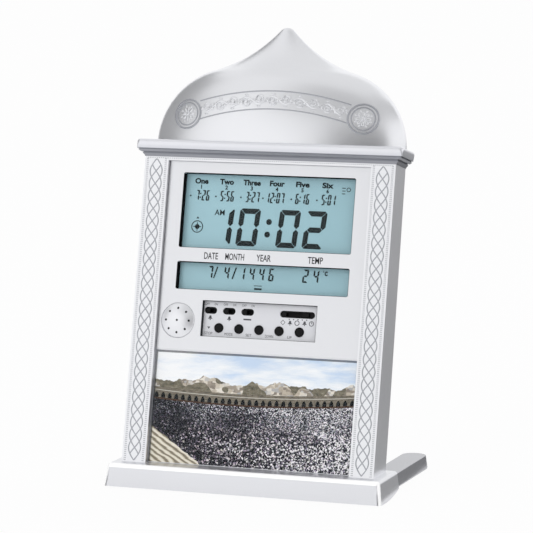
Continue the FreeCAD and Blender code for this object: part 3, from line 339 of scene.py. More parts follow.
making = {
    "sharp": 35,  # degrees past which an edge stays sharp
    "thinSharp": 60,  # the same on thin trim
    "copySharp": 32,  # and on copies of the CAD nodes
    "merge": 0.0005, "fineMerge": 0.00001,  # mm
    "copyMerge": 0.000004,  # metres
    "copyFlat": 0.4,  # degrees between faces that become one
    "print": 0.05,  # thickness of printed marks
    "printLift": 0.03,
}


def keep(bm, name, finish, stands=(), sharp=making["sharp"], merge=making["merge"]):
    bmesh.ops.remove_doubles(bm, verts=bm.verts, dist=merge)
    bmesh.ops.recalc_face_normals(bm, faces=bm.faces)
    keepMesh(bm, name, finish, "clock", stands, sharp, upright)


def keepTrim(bm, name, finish):
    keep(bm, name, finish, sharp=making["thinSharp"])


def linked(name, data):
    made = bpy.data.objects.new(name, data)
    scene.collection.objects.link(made)
    return made


def asObject(bm, name, finish):
    mesh = bpy.data.meshes.new(name)
    bm.to_mesh(mesh)
    bm.free()
    mesh.materials.append(finish)
    return linked(name, mesh)


def keepMesh(bm, name, finish, body, stands, sharp, place):
    for face in bm.faces:
        face.smooth = True
    piece = asObject(bm, name, finish)
    piece.data.transform(place)
    piece.data.set_sharp_from_angle(angle=radians(sharp))
    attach(piece, body)
    if stands:
        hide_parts(*stands)
    return piece


def smoothed(node, name, finish, body="clock"):  # a merged copy of a node
    bm = bmesh.new()
    bm.from_mesh(nodes[node].data)
    bmesh.ops.remove_doubles(bm, verts=bm.verts, dist=making["copyMerge"])
    flatness = radians(making["copyFlat"])
    bmesh.ops.dissolve_limit(bm, angle_limit=flatness, verts=bm.verts, edges=bm.edges)
    piece = keepMesh(bm, name, finish, body, (node,), making["copySharp"], Matrix())
    even = piece.modifiers.new("even", "WEIGHTED_NORMAL")
    even.keep_sharp = True
    return piece


def newVerts(geometry):
    return [part for part in geometry if isinstance(part, bmesh.types.BMVert)]


standing = Matrix.Rotation(pi / 2, 4, "X")


def addMesh(bm, mesh, *moves):  # a made mesh goes into the piece, turned and shifted
    for move in moves:
        mesh.transform(move)
    bm.from_mesh(mesh)
    bpy.data.meshes.remove(mesh)


def asMesh(curve):
    holder = bpy.data.objects.new("curve", curve)
    mesh = bpy.data.meshes.new_from_object(holder)
    bpy.data.objects.remove(holder)
    bpy.data.curves.remove(curve)
    return mesh


def roundLine(points, radius, closed=False):
    curve = bpy.data.curves.new("line", "CURVE")
    curve.dimensions = "3D"
    curve.bevel_depth = radius
    curve.bevel_resolution = 1
    curve.use_fill_caps = True
    spline = curve.splines.new("POLY")
    spline.points.add(len(points) - 1)
    for point, spot in zip(spline.points, points):
        point.co = (*spot, 1.0)
    spline.use_cyclic_u = closed
    return asMesh(curve)


def lettering(bm, level, text, x, z, height, width=None, align=0.0, weight=0.0):
    curve = bpy.data.curves.new("words", "FONT")
    curve.body = text
    curve.extrude = 0.5
    curve.offset = weight
    curve.resolution_u = 3
    mesh = asMesh(curve)
    xs = [vertex.co.x for vertex in mesh.vertices]
    zs = [vertex.co.y for vertex in mesh.vertices]
    reach = max(xs) - min(xs)
    tall = height / (max(zs) - min(zs))
    wide = width / reach if width else tall
    y, depth = level
    stand = standing @ Matrix.Translation((-min(xs), -min(zs), 0))
    shift = Matrix.Translation((x - align * wide * reach, y, z))
    addMesh(bm, mesh, stand, Matrix.Diagonal((wide, depth, tall, 1)), shift)


def stroke(bm, level, start, end, width):  # a thin flat line between two (x, z) spots
    (x0, z0), (x1, z1), (y, depth) = start, end, level
    made = bmesh.ops.create_cube(bm, size=1)["verts"]
    size = Matrix.Diagonal((hypot(x1 - x0, z1 - z0), depth, width, 1))
    turn = Matrix.Rotation(-atan2(z1 - z0, x1 - x0), 4, "Y")
    place = Matrix.Translation(((x0 + x1) / 2, y, (z0 + z1) / 2))
    bmesh.ops.transform(bm, matrix=place @ turn @ size, verts=made)


def disc(bm, level, spot, radius, segments=20, inner=0.0):  # or a ring, with an inner radius
    verts = bmesh.ops.create_circle(bm, segments=segments, radius=radius, cap_ends=not inner)["verts"]
    middle = Matrix.Translation((spot[0], level[0], spot[1]))
    bmesh.ops.transform(bm, matrix=middle @ standing, verts=verts)
    faces = list({face for vertex in verts for face in vertex.link_faces})
    if inner:
        edges = list({edge for vertex in verts for edge in vertex.link_edges})
        grown = bmesh.ops.extrude_edge_only(bm, edges=edges)["geom"]
        bmesh.ops.scale(bm, vec=(inner / radius,) * 3, space=middle.inverted(), verts=newVerts(grown))
        faces = [part for part in grown if isinstance(part, bmesh.types.BMFace)]
    out = bmesh.ops.extrude_face_region(bm, geom=faces)["geom"]
    bmesh.ops.translate(bm, vec=(0, level[1], 0), verts=newVerts(out))


def slab(bm, level, corners):  # a flat shape from its (x, z) corners
    face = bm.faces.new([bm.verts.new((x, level[0], z)) for x, z in corners])
    out = bmesh.ops.extrude_face_region(bm, geom=[face])["geom"]
    bmesh.ops.translate(bm, vec=(0, level[1], 0), verts=newVerts(out))


dome = {
    "halfWidth": 88.4, "height": 81.1,
    "arcs": ((53.04, 73.5, 28), (-102.37, 30.56, 16), (6.215, 47.06, 6)),  # radius, turn and steps
    "bulge": 23.3, "rimFoot": 20.8, "rimLean": 1.8, "turnSteps": 96, "wall": 2.2, "recess": 3.0,
    "solidAbove": 72.2,
    "rimReach": 25.0,  # way back, past the rear plane that cuts it
    "close": 0.01, "seam": 0.001, "cut": 0.0001,
    "wallCorners": 30,  # the back wall has more corners than this
    "wallFacing": 0.9, "sharp": 40,
}
base = clock["corniceTop"]
rimSlope = tan(radians(dome["rimLean"]))
backTaper = radians(clock["backTaper"])


def ogee(bm):  # the dome's outline, spun arc by arc up from its foot
    tip = bm.verts.new((dome["halfWidth"], 0, 0))
    heading = 0.0
    for radius, turn, steps in dome["arcs"]:
        angle = copysign(radians(turn), radius)
        centre = tip.co - radius * Vector((cos(heading), 0, sin(heading)))
        spun = bmesh.ops.spin(bm, geom=[tip], cent=centre, axis=(0, 1, 0), angle=-angle, steps=steps)
        tip = newVerts(spun["geom_last"])[0]
        heading += angle
    return tip


def ogeeTable():  # half widths up the dome, for what lies on its face
    bm = bmesh.new()
    top = ogee(bm).co.z
    rows = sorted((vertex.co.z * dome["height"] / top, vertex.co.x) for vertex in bm.verts)
    bm.free()
    return rows


ogeeRows = ogeeTable()


def halfWidth(z):
    for (z0, x0), (z1, x1) in zip(ogeeRows, ogeeRows[1:]):
        if z <= z1:
            return x0 + (x1 - x0) * (z - z0) / (z1 - z0)
    return 0.0


def domeFace(x, z):  # depth of the dome's front at a height above its foot
    half = halfWidth(z)
    inside = max(half * half - x * x, 0.0)
    return dome["rimFoot"] - z * rimSlope - dome["bulge"] / dome["halfWidth"] * sqrt(inside)


def openEdges(bm):
    return [edge for edge in bm.edges if edge.is_boundary]


def spunFront(bm):  # the dome's front, pressed flat and leaned back; its rim is returned
    tip = ogee(bm)
    bmesh.ops.scale(bm, vec=(1, 1, dome["height"] / tip.co.z), verts=bm.verts)
    outline = bm.verts[:] + bm.edges[:]
    steps = dome["turnSteps"]
    bmesh.ops.spin(bm, geom=outline, cent=(0, 0, 0), axis=(0, 0, 1), angle=-pi, steps=steps)
    close = dome["close"]
    bmesh.ops.remove_doubles(bm, verts=bm.verts, dist=close)
    edges = [edge for edge in openEdges(bm) if all(abs(end.co.y) < close for end in edge.verts)]
    rim = [edge for edge in edges if max(end.co.z for end in edge.verts) > close]
    bmesh.ops.scale(bm, vec=(1, dome["bulge"] / dome["halfWidth"], 1), verts=bm.verts)
    shear = Matrix.Identity(4)
    shear[1][2] = -rimSlope
    move = Matrix.Translation((0, dome["rimFoot"], base))
    bmesh.ops.transform(bm, matrix=move @ shear, verts=bm.verts)
    return rim


def closedBack(bm, rim):  # the rim runs back to the rear plane; the wall on that plane is returned
    grown = bmesh.ops.extrude_edge_only(bm, edges=rim)["geom"]
    bmesh.ops.translate(bm, vec=(0, dome["rimReach"], 0), verts=newVerts(grown))
    bmesh.ops.bisect_plane(
        bm, geom=bm.verts[:] + bm.edges[:] + bm.faces[:], clear_outer=True, dist=dome["cut"],
        plane_co=(0, clock["backDepth"] - base * tan(backTaper), base),
        plane_no=(0, cos(backTaper), sin(backTaper)))
    bmesh.ops.remove_doubles(bm, verts=bm.verts, dist=dome["seam"])
    close = dome["close"]
    foot = [edge for edge in openEdges(bm) if all(abs(end.co.z - base) < close for end in edge.verts)]
    bmesh.ops.contextual_create(bm, geom=foot)
    return bmesh.ops.contextual_create(bm, geom=openEdges(bm))["faces"]


def hollowBack(bm, wall):  # a shallow recess below the solid tip
    parts = {part for face in wall for part in (face, *face.edges, *face.verts)}
    cut = (0, 0, base + dome["solidAbove"])
    bmesh.ops.bisect_plane(bm, geom=list(parts), plane_co=cut, plane_no=(0, 0, 1), dist=dome["cut"])
    bm.faces.ensure_lookup_table()
    flats = [face for face in bm.faces if len(face.verts) > dome["wallCorners"]]
    flats = [face for face in flats if abs(face.normal.y) > dome["wallFacing"]]
    low = min(flats, key=lambda face: face.calc_center_median().z)
    bmesh.ops.inset_region(bm, faces=[low], thickness=dome["wall"], use_even_offset=True)
    out = bmesh.ops.extrude_face_region(bm, geom=[low])["geom"]
    bmesh.ops.delete(bm, geom=[low], context="FACES")
    bmesh.ops.translate(bm, vec=(0, -dome["recess"], 0), verts=newVerts(out))


def makeDome():
    bm = bmesh.new()
    wall = closedBack(bm, spunFront(bm))
    bmesh.ops.recalc_face_normals(bm, faces=bm.faces)
    hollowBack(bm, wall)
    keep(bm, "domeShell", silver, stands=("dome_shell",), sharp=dome["sharp"])


makeDome()
relief = {
    "bandTop": (35.2, 7.9, 55.0),  # height at the middle, drop and the reach of that drop
    "bandFoot": (22.7, 7.3, 51.5), "bandEnd": 53.6, "bandSteps": 60, "lineRadius": 0.45,
    "medallionX": 62.1, "medallionZ": 18.8, "rings": ((9.9, 0.7), (7.7, 0.5)), "ringSteps": 48,
}


def bandHeight(x, share):  # 0 at the band's lower border, 1 at its upper one
    low, high = relief["bandFoot"], relief["bandTop"]
    foot = low[0] - low[1] * (x / low[2]) ** 2
    return foot + share * (high[0] - high[1] * (x / high[2]) ** 2 - foot)


def onDome(bm):  # drawn flat at y = 0, then laid on the dome's face
    for vertex in bm.verts:
        vertex.co.y += domeFace(vertex.co.x, vertex.co.z)
        vertex.co.z += base


def around(x, z, radius, angle):
    return x + radius * cos(angle), z + radius * sin(angle)


def makeBand():
    bm = bmesh.new()
    steps = relief["bandSteps"]
    reach = [relief["bandEnd"] * (2 * step / steps - 1) for step in range(steps + 1)]
    for share in (0.0, 1.0):
        addMesh(bm, roundLine([(x, 0, bandHeight(x, share)) for x in reach], relief["lineRadius"]))
    turns = [tau * step / relief["ringSteps"] for step in range(relief["ringSteps"])]
    for side in (-1, 1):
        middle = side * relief["medallionX"], relief["medallionZ"]
        for radius, thick in relief["rings"]:
            spots = [around(*middle, radius, turn) for turn in turns]
            addMesh(bm, roundLine([(x, 0, z) for x, z in spots], thick, True))
    onDome(bm)
    keepTrim(bm, "domeBand", shadedReliefSilver)


vine = {
    "stemRadius": 0.7, "wave": 2.5, "pitch": 19.0, "end": 47.5, "stemSteps": 96, "middle": 0.5,
    "curlRadius": 0.55, "curlReach": 3.0, "curlTurns": 1.3, "curlStart": 0.1 * pi,
    "curlShrink": 0.82, "curlSteps": 22,
    "sway": 0.9,  # curls and leaves stand this far from the band's middle
    "leaf": (3.8, 2.1),  # length and width
    "leafSide": 3.7, "leafTurn": 0.7, "bud": (3.0, 1.3), "budRise": 4.2, "leafDepth": 0.5,
    "leafPoint": 0.45,  # how much narrower a leaf is at its tip
}


def curl(x, z, start, way):
    points = []
    for step in range(vine["curlSteps"] + 1):
        share = step / vine["curlSteps"]
        radius = vine["curlReach"] * (1 - vine["curlShrink"] * share)
        spotX, spotZ = around(x, z, radius, start + way * vine["curlTurns"] * tau * share)
        points.append((spotX, 0, spotZ))
    return points


def leaf(bm, x, z, angle, length, width):
    made = bmesh.ops.create_icosphere(bm, subdivisions=2, radius=1)["verts"]
    for vertex in made:
        vertex.co.z *= 1 - vine["leafPoint"] * vertex.co.x
    size = Matrix.Diagonal((length / 2, vine["leafDepth"], width / 2, 1))
    turn = Matrix.Rotation(-angle, 4, "Y")
    bmesh.ops.transform(bm, matrix=Matrix.Translation((x, 0, z)) @ turn @ size, verts=made)


def makeVine():
    bm = bmesh.new()
    pitch, end, steps = vine["pitch"], vine["end"], vine["stemSteps"]
    stem = []
    for step in range(steps + 1):
        x = end * (2 * step / steps - 1)
        stem.append((x, 0, bandHeight(x, vine["middle"]) + vine["wave"] * cos(tau * x / pitch)))
    addMesh(bm, roundLine(stem, vine["stemRadius"]))
    count = int(end / pitch * 2)
    for index in range(-count, count + 1):
        x = index * pitch / 2
        way = 1 if index % 2 == 0 else -1
        middle = bandHeight(x, vine["middle"])
        z = middle - way * vine["sway"]
        addMesh(bm, roundLine(curl(x, z, -way * vine["curlStart"], -way), vine["curlRadius"]))
        for side in (-1, 1):
            angle = pi / 2 - side * way * vine["leafTurn"]
            leaf(bm, x + side * vine["leafSide"], z + way * vine["sway"], angle, *vine["leaf"])
        leaf(bm, x, middle + way * vine["budRise"], 0 if index % 4 else pi, *vine["bud"])
    onDome(bm)
    keepTrim(bm, "domeVine", silver)


rosette = {
    "petals": 8,
    "inner": (3.0, 4.4, 2.0),  # reach from the middle, length and width
    "outer": (5.2, 2.4, 1.3), "knob": 1.3, "knobDepth": 0.6,
}


def makeRosettes():
    bm = bmesh.new()
    pitch = tau / rosette["petals"]
    for side in (-1, 1):
        x, z = side * relief["medallionX"], relief["medallionZ"]
        for index in range(rosette["petals"]):
            for row, start in (("inner", 0.0), ("outer", pitch / 2)):
                reach, length, width = rosette[row]
                angle = index * pitch + start
                leaf(bm, *around(x, z, reach, angle), angle + pi, length, width)
        made = bmesh.ops.create_icosphere(bm, subdivisions=2, radius=rosette["knob"])["verts"]
        press = Matrix.Diagonal((1, rosette["knobDepth"], 1, 1))
        bmesh.ops.transform(bm, matrix=Matrix.Translation((x, 0, z)) @ press, verts=made)
    onDome(bm)
    keepTrim(bm, "domeRosettes", silver)


makeBand()
makeVine()
makeRosettes()
print("dome made")

silverPieces = (
    ("front_case", "caseFront", silver),
    ("face_panel", "facePanel", faceSilver),
    ("cornice", "corniceMoulding", ledgeSilver),
    ("stand_bar", "standBar", barSilver),
    ("stand_leg_left", "standLegLeft", legSilver),
    ("stand_leg_right", "standLegRight", legSilver),
    ("speaker_grille", "speakerGrille", grilleSilver),
)
for node, name, finish in silverPieces:
    smoothed(node, name, finish)
grille = {
    "x": -57.2, "z": 97.3, "radius": 11.8, "rise": 2.2, "ring": 8.15, "count": 8,
    "hole": 0.8, "holeSteps": 16, "sink": 0.15, "depth": 0.3,
}


def makeHoles():  # painted shade: dark discs set in the grille's holes
    bm = bmesh.new()
    ball = (grille["radius"] ** 2 + grille["rise"] ** 2) / (2 * grille["rise"])
    front = clock["panelFront"] - grille["rise"]
    turns = [tau * index / grille["count"] for index in range(grille["count"])]
    spots = [(0.0, 0.0)] + [around(0.0, 0.0, grille["ring"], turn) for turn in turns]
    for x, z in spots:
        y = front + ball - sqrt(ball ** 2 - x * x - z * z) + grille["sink"]
        spot = grille["x"] + x, grille["z"] + z
        disc(bm, (y, grille["depth"]), spot, grille["hole"], grille["holeSteps"])
    keep(bm, "grilleHoles", shadeBlack, merge=making["fineMerge"])


makeHoles()
braid = {
    "foot": 1.7, "top": 205.5, "strands": 4, "wave": 34.0, "reach": 4.3, "radius": 0.42,
    "lift": 0.16, "crossings": 4, "press": 0.6, "step": 1.0,
}
beads = {
    "columns": (-6.9, -6.1, 6.1, 6.9), "pitch": 1.35, "radius": 0.34,
    "rowHeight": 206.3,  # the row under the cornice
    "rowReach": 86.0,
}


def makeBraid(side, name):
    bm = bmesh.new()
    middle = side * clock["pillarX"]
    for strand in range(braid["strands"]):
        early = 0 if strand % 2 else braid["wave"] / 8  # the inner pair ends where it meets the outer one
        low, high = braid["foot"] + early, braid["top"] - early
        steps = round((high - low) / braid["step"])
        points = []
        for step in range(steps + 1):
            z = low + (high - low) * step / steps
            angle = tau * (z - braid["foot"]) / braid["wave"] + strand * pi / 2
            lift = braid["lift"] * sin(angle) * cos(braid["crossings"] * angle)
            points.append((middle + braid["reach"] * cos(angle), lift, z))
        addMesh(bm, roundLine(points, braid["radius"]))
    bmesh.ops.scale(bm, vec=(1, braid["press"], 1), verts=bm.verts)
    keepTrim(bm, name, shadedReliefSilver)


def makeBeads(name, spots):
    bm = bmesh.new()
    for x, z in spots:
        made = bmesh.ops.create_icosphere(bm, subdivisions=1, radius=beads["radius"])["verts"]
        bmesh.ops.translate(bm, vec=(x, 0, z), verts=made)
    keepTrim(bm, name, shadedReliefSilver)


for side, word in ((-1, "Left"), (1, "Right")):
    makeBraid(side, "pillarBraid" + word)
    rows = range(round((braid["top"] - braid["foot"]) / beads["pitch"]) + 1)
    xs = [side * clock["pillarX"] + x for x in beads["columns"]]
    makeBeads("pillarBeads" + word, [(x, braid["foot"] + row * beads["pitch"]) for x in xs for row in rows])
count = round(beads["rowReach"] / beads["pitch"])
makeBeads("topBeads", [(index * beads["pitch"], beads["rowHeight"]) for index in range(-count, count + 1)])
print("case made")

windows = {
    "upper": (-60.85, 60.85, 146.7, 197.4),  # left, right, foot and top
    "lower": (-60.85, 60.85, 118.5, 137.3), "control": (-40.5, 40.5, 87.5, 111.7),
    "liningFront": 3.3, "liningBack": 8.85, "liningWall": 0.25, "plateGap": 0.02,
}


def addLining(bm, back, left, right, low, high):
    made = bmesh.ops.create_grid(bm, x_segments=1, y_segments=1, size=0.5)["verts"]
    stand = standing @ Matrix.Diagonal((right - left, high - low, 1, 1))
    place = Matrix.Translation(((left + right) / 2, windows["liningFront"], (low + high) / 2))
    bmesh.ops.transform(bm, matrix=place @ stand, verts=made)
    face = made[0].link_faces[0]
    wall = windows["liningWall"]
    bmesh.ops.inset_region(bm, faces=[face], thickness=wall, use_boundary=True, use_even_offset=True)
    ring = [near for edge in face.edges for near in edge.link_faces if near is not face]
    bmesh.ops.delete(bm, geom=[face], context="FACES_ONLY")
    out = bmesh.ops.extrude_face_region(bm, geom=ring)["geom"]
    bmesh.ops.translate(bm, vec=(0, back - windows["liningFront"], 0), verts=newVerts(out))


# dark sleeves of painted shade on the walls of the windows and the control recess
def makeLinings():
    bm = bmesh.new()
    for window in ("upper", "lower"):
        addLining(bm, windows["liningBack"], *windows[window])
    keep(bm, "windowLining", shadeBlack)
    bm = bmesh.new()
    addLining(bm, clock["plateFront"] - windows["plateGap"], *windows["control"])
    keep(bm, "controlLining", shadowGrey)


makeLinings()
digits = {
    "0": "abcdef", "1": "bc", "2": "abged", "3": "abgcd", "4": "fgbc",
    "5": "afgcd", "6": "afgedc", "7": "abc", "8": "abcdefg", "9": "abcdfg",
}
figures = {
    "slant": 0.082, "gapShare": 0.7,
    "corner": 0.45,  # cut corner, as a share of the stroke
    "dots": (0.3, 0.66),  # heights of a colon's dots, as shares of the figure
    "dotShift": 0.2, "dotRadius": 0.55, "dotSteps": 10, "colonPitch": 0.42,
    "hour": (14.7, 25.4, 3.55, 18.6, 0.24),  # width, height, stroke, pitch and gap
    "small": (2.45, 7.1, 0.95, 3.05, 0.1), "date": (3.6, 8.6, 1.15, 6.85, 0.15),
    "degrees": (3.9, 8.9, 1.15, 7.3, 0.15),
}


def segment(letter, wide, tall, thick, gap):
    k, corner = gap * figures["gapShare"], thick * figures["corner"]
    middle, half, inner = tall / 2, thick / 2, tall - thick
    near, far = corner / 2 - k / 2, corner / 2 + k / 2
    top = [
        (far, tall - near), (corner, tall), (wide - corner, tall), (wide - far, tall - near),
        (wide - thick - k, inner), (thick + k, inner)]
    left = [
        (0, tall - corner), (near, tall - far), (thick, inner - k),
        (thick, middle + half + k), (half, middle + k), (0, middle + half + k)]
    across = [
        (half + k * 2, middle), (thick + k, middle + half), (wide - thick - k, middle + half),
        (wide - half - k * 2, middle), (wide - thick - k, middle - half), (thick + k, middle - half)]
    corners = top if letter in "ad" else across if letter == "g" else left
    if letter in "bc":
        corners = [(wide - x, z) for x, z in corners]
    return [(x, tall - z) for x, z in corners] if letter in "cde" else corners


def number(bm, level, text, x, z, style):  # slanted seven-segment figures
    wide, tall, thick, pitch, gap = figures[style]
    slant = figures["slant"]
    for figure in text:
        if figure == ":":
            for share in figures["dots"]:
                spot = x + figures["dotShift"] + share * tall * slant, z + share * tall
                disc(bm, level, spot, thick * figures["dotRadius"], figures["dotSteps"])
            x += pitch * figures["colonPitch"]
        else:
            for letter in digits[figure]:
                corners = segment(letter, wide, tall, thick, gap)
                slab(bm, level, [(x + u + v * slant, z + v) for u, v in corners])
            x += pitch


def shifted(corners, x, z):
    return [(x + u, z + v) for u, v in corners]


def printed(name, finish, level, marks, stands=()):  # one piece from its list of marks
    bm = bmesh.new()
    for draw, *where in marks:
        draw(bm, level, *where)
    keep(bm, name, finish, stands, merge=making["fineMerge"])


display = {
    "level": (8.9, 0.06),  # just in front of the rear glass, and the thickness of the ink
    "hour": (
        (number, "10", -41.3, 149.7, "hour"),
        (number, "02", 5.6, 149.7, "hour"),
        (disc, (0.2, 166.6), 2.0),
        (disc, (-0.5, 158.1), 2.0)),
    "marks": (
        (number, "7", -40.9, 126.8, "date"),
        (stroke, (-36.2, 127.2), (-33.8, 135.0), 0.95),
        (number, "4", -29.2, 126.9, "date"),
        (stroke, (-22.9, 127.2), (-20.5, 135.0), 0.95),
        (number, "1446", -18.1, 126.9, "date"),
        (stroke, (-7.0, 123.4), (-1.6, 123.4), 0.45),
        (stroke, (-6.8, 121.3), (-1.5, 121.3), 1.1),
        (number, "24", 26.4, 127.0, "degrees"),
        (disc, (41.1, 134.9), 0.55, 12, 0.3),
        (lettering, "C", 41.9, 132.1, 3.2, 2.1, 0.0, 0.06),
        (lettering, "AM", -38.9, 169.8, 3.8, 7.1, 0.0, 0.01),
        (stroke, (49.9, 187.4), (52.2, 187.4), 0.5),
        (stroke, (49.9, 189.3), (52.2, 189.3), 0.5),
        (stroke, (49.9, 191.2), (52.2, 191.2), 0.5),
        (disc, (54.4, 190.2), 1.5, 16, 1.05),
        (disc, (-50.75, 161.55), 4.2, 28, 3.6),
        (disc, (-50.75, 161.55), 1.7, 16)),
}
times = {
    "foot": 179.3,
    "texts": (
        ("7:26", -53.6), ("5:56", -36.1), ("3:27", -18.0), ("12:07", -3.5), ("6:16", 17.3), ("5:01", 35.6)),
    "heads": (  # word, middle and width
        ("One", -49.8, 9.6), ("Two", -31.8, 10.0), ("Three", -13.8, 12.4),
        ("Four", 4.1, 10.6), ("Five", 22.1, 9.6), ("Six", 39.8, 8.0)),
    "headLine": (190.6, 3.9),  # foot and height, here and below
    "headWeight": 0.045, "countLine": (187.3, 2.8), "countWeight": 0.04,
    "marks": (-57.1, -39.0, -21.1, -5.4, 14.7, 32.7), "markRise": 182.4, "markSize": 1.0,
}
compass = {
    "middle": (-50.75, 161.55), "needle": 2.9, "width": 0.5,
    "arrow": ((-1.0, 5.45), (1.0, 5.45), (0.0, 6.95)),
}
words = {
    "line": (139.4, 4.5), "weight": 0.01,
    "texts": (("DATE", -42.0, 9.9), ("MONTH", -26.9, 13.4), ("YEAR", -4.8, 10.2), ("TEMP", 31.4, 10.5)),
}


def displayMarks():
    marks = [(number, text, x, times["foot"], "small") for text, x in times["texts"]]
    for count, (word, x, width) in enumerate(times["heads"], 1):
        marks.append((lettering, word, x, *times["headLine"], width, 0.5, times["headWeight"]))
        marks.append((lettering, str(count), x, *times["countLine"], None, 0.5, times["countWeight"]))
    half, z = times["markSize"] / 2, times["markRise"]
    for x in times["marks"]:
        marks.append((stroke, (x - half, z), (x + half, z), times["markSize"]))
    middle = compass["middle"]
    for quarter in range(4):
        end = around(*middle, compass["needle"], quarter * pi / 2)
        marks.append((stroke, middle, end, compass["width"]))
    marks.append((slab, shifted(compass["arrow"], *middle)))
    return [*display["marks"], *marks]


def printLevel(front):
    return front - making["printLift"], making["print"]


printed("displayHour", inkBlack, display["level"], display["hour"])
printed("displayMarks", inkBlack, display["level"], displayMarks(), ("lcd_front_glass",))
look = 0.0, words["weight"]
marks = [(lettering, text, x, *words["line"], width, *look) for text, x, width in words["texts"]]
printed("faceWords", printBlack, printLevel(clock["panelFront"]), marks)
print("display made")

controls = {
    "buttons": 5, "slots": (-35.5, -22.4, -9.3),
    "slotWords": (("OFF", -4.3, 3.2), ("ON", 2.4, 2.2)),  # word, way from the slot and width
    "slotLine": (108.9, 1.5),  # foot and height, here and below
    "words": (
        ("STOP", -38.9, 5.6), ("MODE", -24.6, 5.8), ("SET", -9.5, 4.0), ("DOWN", 4.2, 5.7),
        ("UP", 19.8, 3.0)),
    "wordLine": (89.1, 1.8), "ticks": (20.3, 23.35, 26.4, 29.45, 32.5),
    "tick": ((-0.6, 102.4), (0.6, 102.4), (0.0, 101.5)),
    "bells": ((-35.5, 99.7), (-22.0, 99.6), (21.0, 98.9), (31.2, 99.0)),
    "bell": ((-1.7, 0.0), (1.7, 0.0), (0.9, 0.8), (0.6, 2.2), (-0.6, 2.2), (-0.9, 0.8)),
    "clapper": (-0.5, 0.4, 10),  # rise, radius and steps
    "marks": (
        (slab, ((-37.2, 94.4), (-35.0, 94.4), (-36.1, 92.9))),
        (stroke, (-11.9, 100.4), (-6.4, 100.4), 1.0),
        (disc, (16.0, 99.8), 1.75, 4, 1.3),
        (disc, (25.9, 99.8), 1.75, 16, 1.3),
        (disc, (36.0, 99.8), 1.75, 16, 1.3),
        (stroke, (36.0, 99.8), (36.0, 100.9), 0.35),
        (stroke, (36.0, 99.8), (36.8, 99.8), 0.35)),
}


def controlMarks():
    marks = [(lettering, word, x, *controls["wordLine"], width) for word, x, width in controls["words"]]
    for x in controls["slots"]:
        for word, way, width in controls["slotWords"]:
            marks.append((lettering, word, x + way, *controls["slotLine"], width))
    for x in controls["ticks"]:
        marks.append((slab, shifted(controls["tick"], x, 0)))
    rise, *clapper = controls["clapper"]
    for x, z in controls["bells"]:
        marks.append((slab, shifted(controls["bell"], x, z)))
        marks.append((disc, (x, z + rise), *clapper))
    return [*controls["marks"], *marks]


printed("controlPrint", printGrey, printLevel(clock["plateFront"]), controlMarks())
for index in range(1, controls["buttons"] + 1):
    smoothed(f"button_{index}", f"pushButton{index}", blackPlastic, f"button_{index}")
print("controls made")

picture = {
    "left": -71.2, "width": 142.4, "foot": -0.8, "height": 77.4, "roughness": 0.5, "shine": 0.1,
    "lift": 0.00003,  # metres, clear of the cover that lies on it
    "rim": (0.008, 0.992, 0.986, 0.75, "3a3b40"),  # left, right, top, share and tone of the painted shade along the card's edges
}
air = {
    "clouds": (2.2, 5.0, 1.6, 5.0, 0.6),  # stretch across and up, scale, detail, roughness
    "rise": (0.8, 0.5), "drift": 0.2,
    "tones": ((0.3, "cbddf3"), (0.46, "ecf2f9"), (0.6, "fcfdfe")),
}
hills = {
    "houses": (2.0, 1.6), "houseCells": (24.0, 0.8, "CHEBYCHEV"),
    "houseTones": ((0.15, "8d8378"), (0.4, "c4b9a8"), (0.7, "e9e3d8"), (0.9, "b3b1b0")),
    "woods": (30.0, 30.0, 1.0, 4.0, 0.7),
    "woodTones": ((0.35, "565246"), (0.6, "857e6c"), (0.75, "b3ac9a")),
    "towns": (4.0, 2.0, 1.4, 2.0, 0.5), "townShare": 0.5, "ridge": (3.4, 0.0, 1.7, 4.0, 0.55),
    "skyline": (0.74, 0.45, 0.32),  # height, middle of the noise and its reach
}
meadow = {
    "beds": (1.84, 1.0), "near": (96.0, 1.0), "far": (150.0, 1.0),
    "depth": (0.25, 0.5),  # where the far flowers begin, and where the near ones end
    "petalShare": 0.62, "drift": (5.0, 7.0, 1.1, 3.0, 0.65), "slope": (0.44, 0.26),
    "tones": ((0.32, "09090d"), (0.45, "201f28"), (0.58, "48464f"), (0.68, "94929c"), (0.78, "f2f1f4")),
    "tintShare": 0.14,
}
terrace = {
    "skew": 0.9, "steps": (1.0, 3.0),
    "wave": {"Scale": 7.0, "Distortion": 3.0, "Detail": 2.0},
    "tones": ((0.1, "857c6a"), (0.45, "c9bfa8"), (0.8, "ece6d8")),
    "edge": (5.0, 5.0, 1.0, 3.0, 0.6), "edgeReach": 0.12, "slope": 1.25, "height": 0.36,
}
arcade = {
    "bend": (0.42, 0.16),  # lowest place, and the rise towards both ends
    "low": 0.555, "high": 0.66, "arches": 30.0, "bow": 0.3, "mouth": (0.012, 0.062),
    "mouthSides": (0.2, 0.8), "mouthTone": "0d0d10", "plinth": (0.0, 0.014, "4a3325"),
    "ledge": (0.076, 0.082, "c9c5bb"), "weather": (40.0, 60.0, 1.0, 3.0, 0.6),
    "tones": ((0.3, "544f46"), (0.7, "8f8676")),
}


def between(place, low, high):
    return (place > low) * (place < high)


def skyTone(finish, u, v):
    middle, rise = air["rise"]
    fade = finish.patches(u, v, *air["clouds"]) - (v - middle) * rise - (u - 0.5) * air["drift"]
    return finish.ramp(fade, air["tones"])


def hillTone(finish, u, v):
    roofs = finish.cells(finish.flat(u, v, *hills["houses"]), *hills["houseCells"])
    houses = finish.ramp(finish.axes(roofs)[0], hills["houseTones"])
    woods = finish.ramp(finish.patches(u, v, *hills["woods"]), hills["woodTones"])
    return finish.mix(finish.patches(u, v, *hills["towns"]) > hills["townShare"], woods, houses)


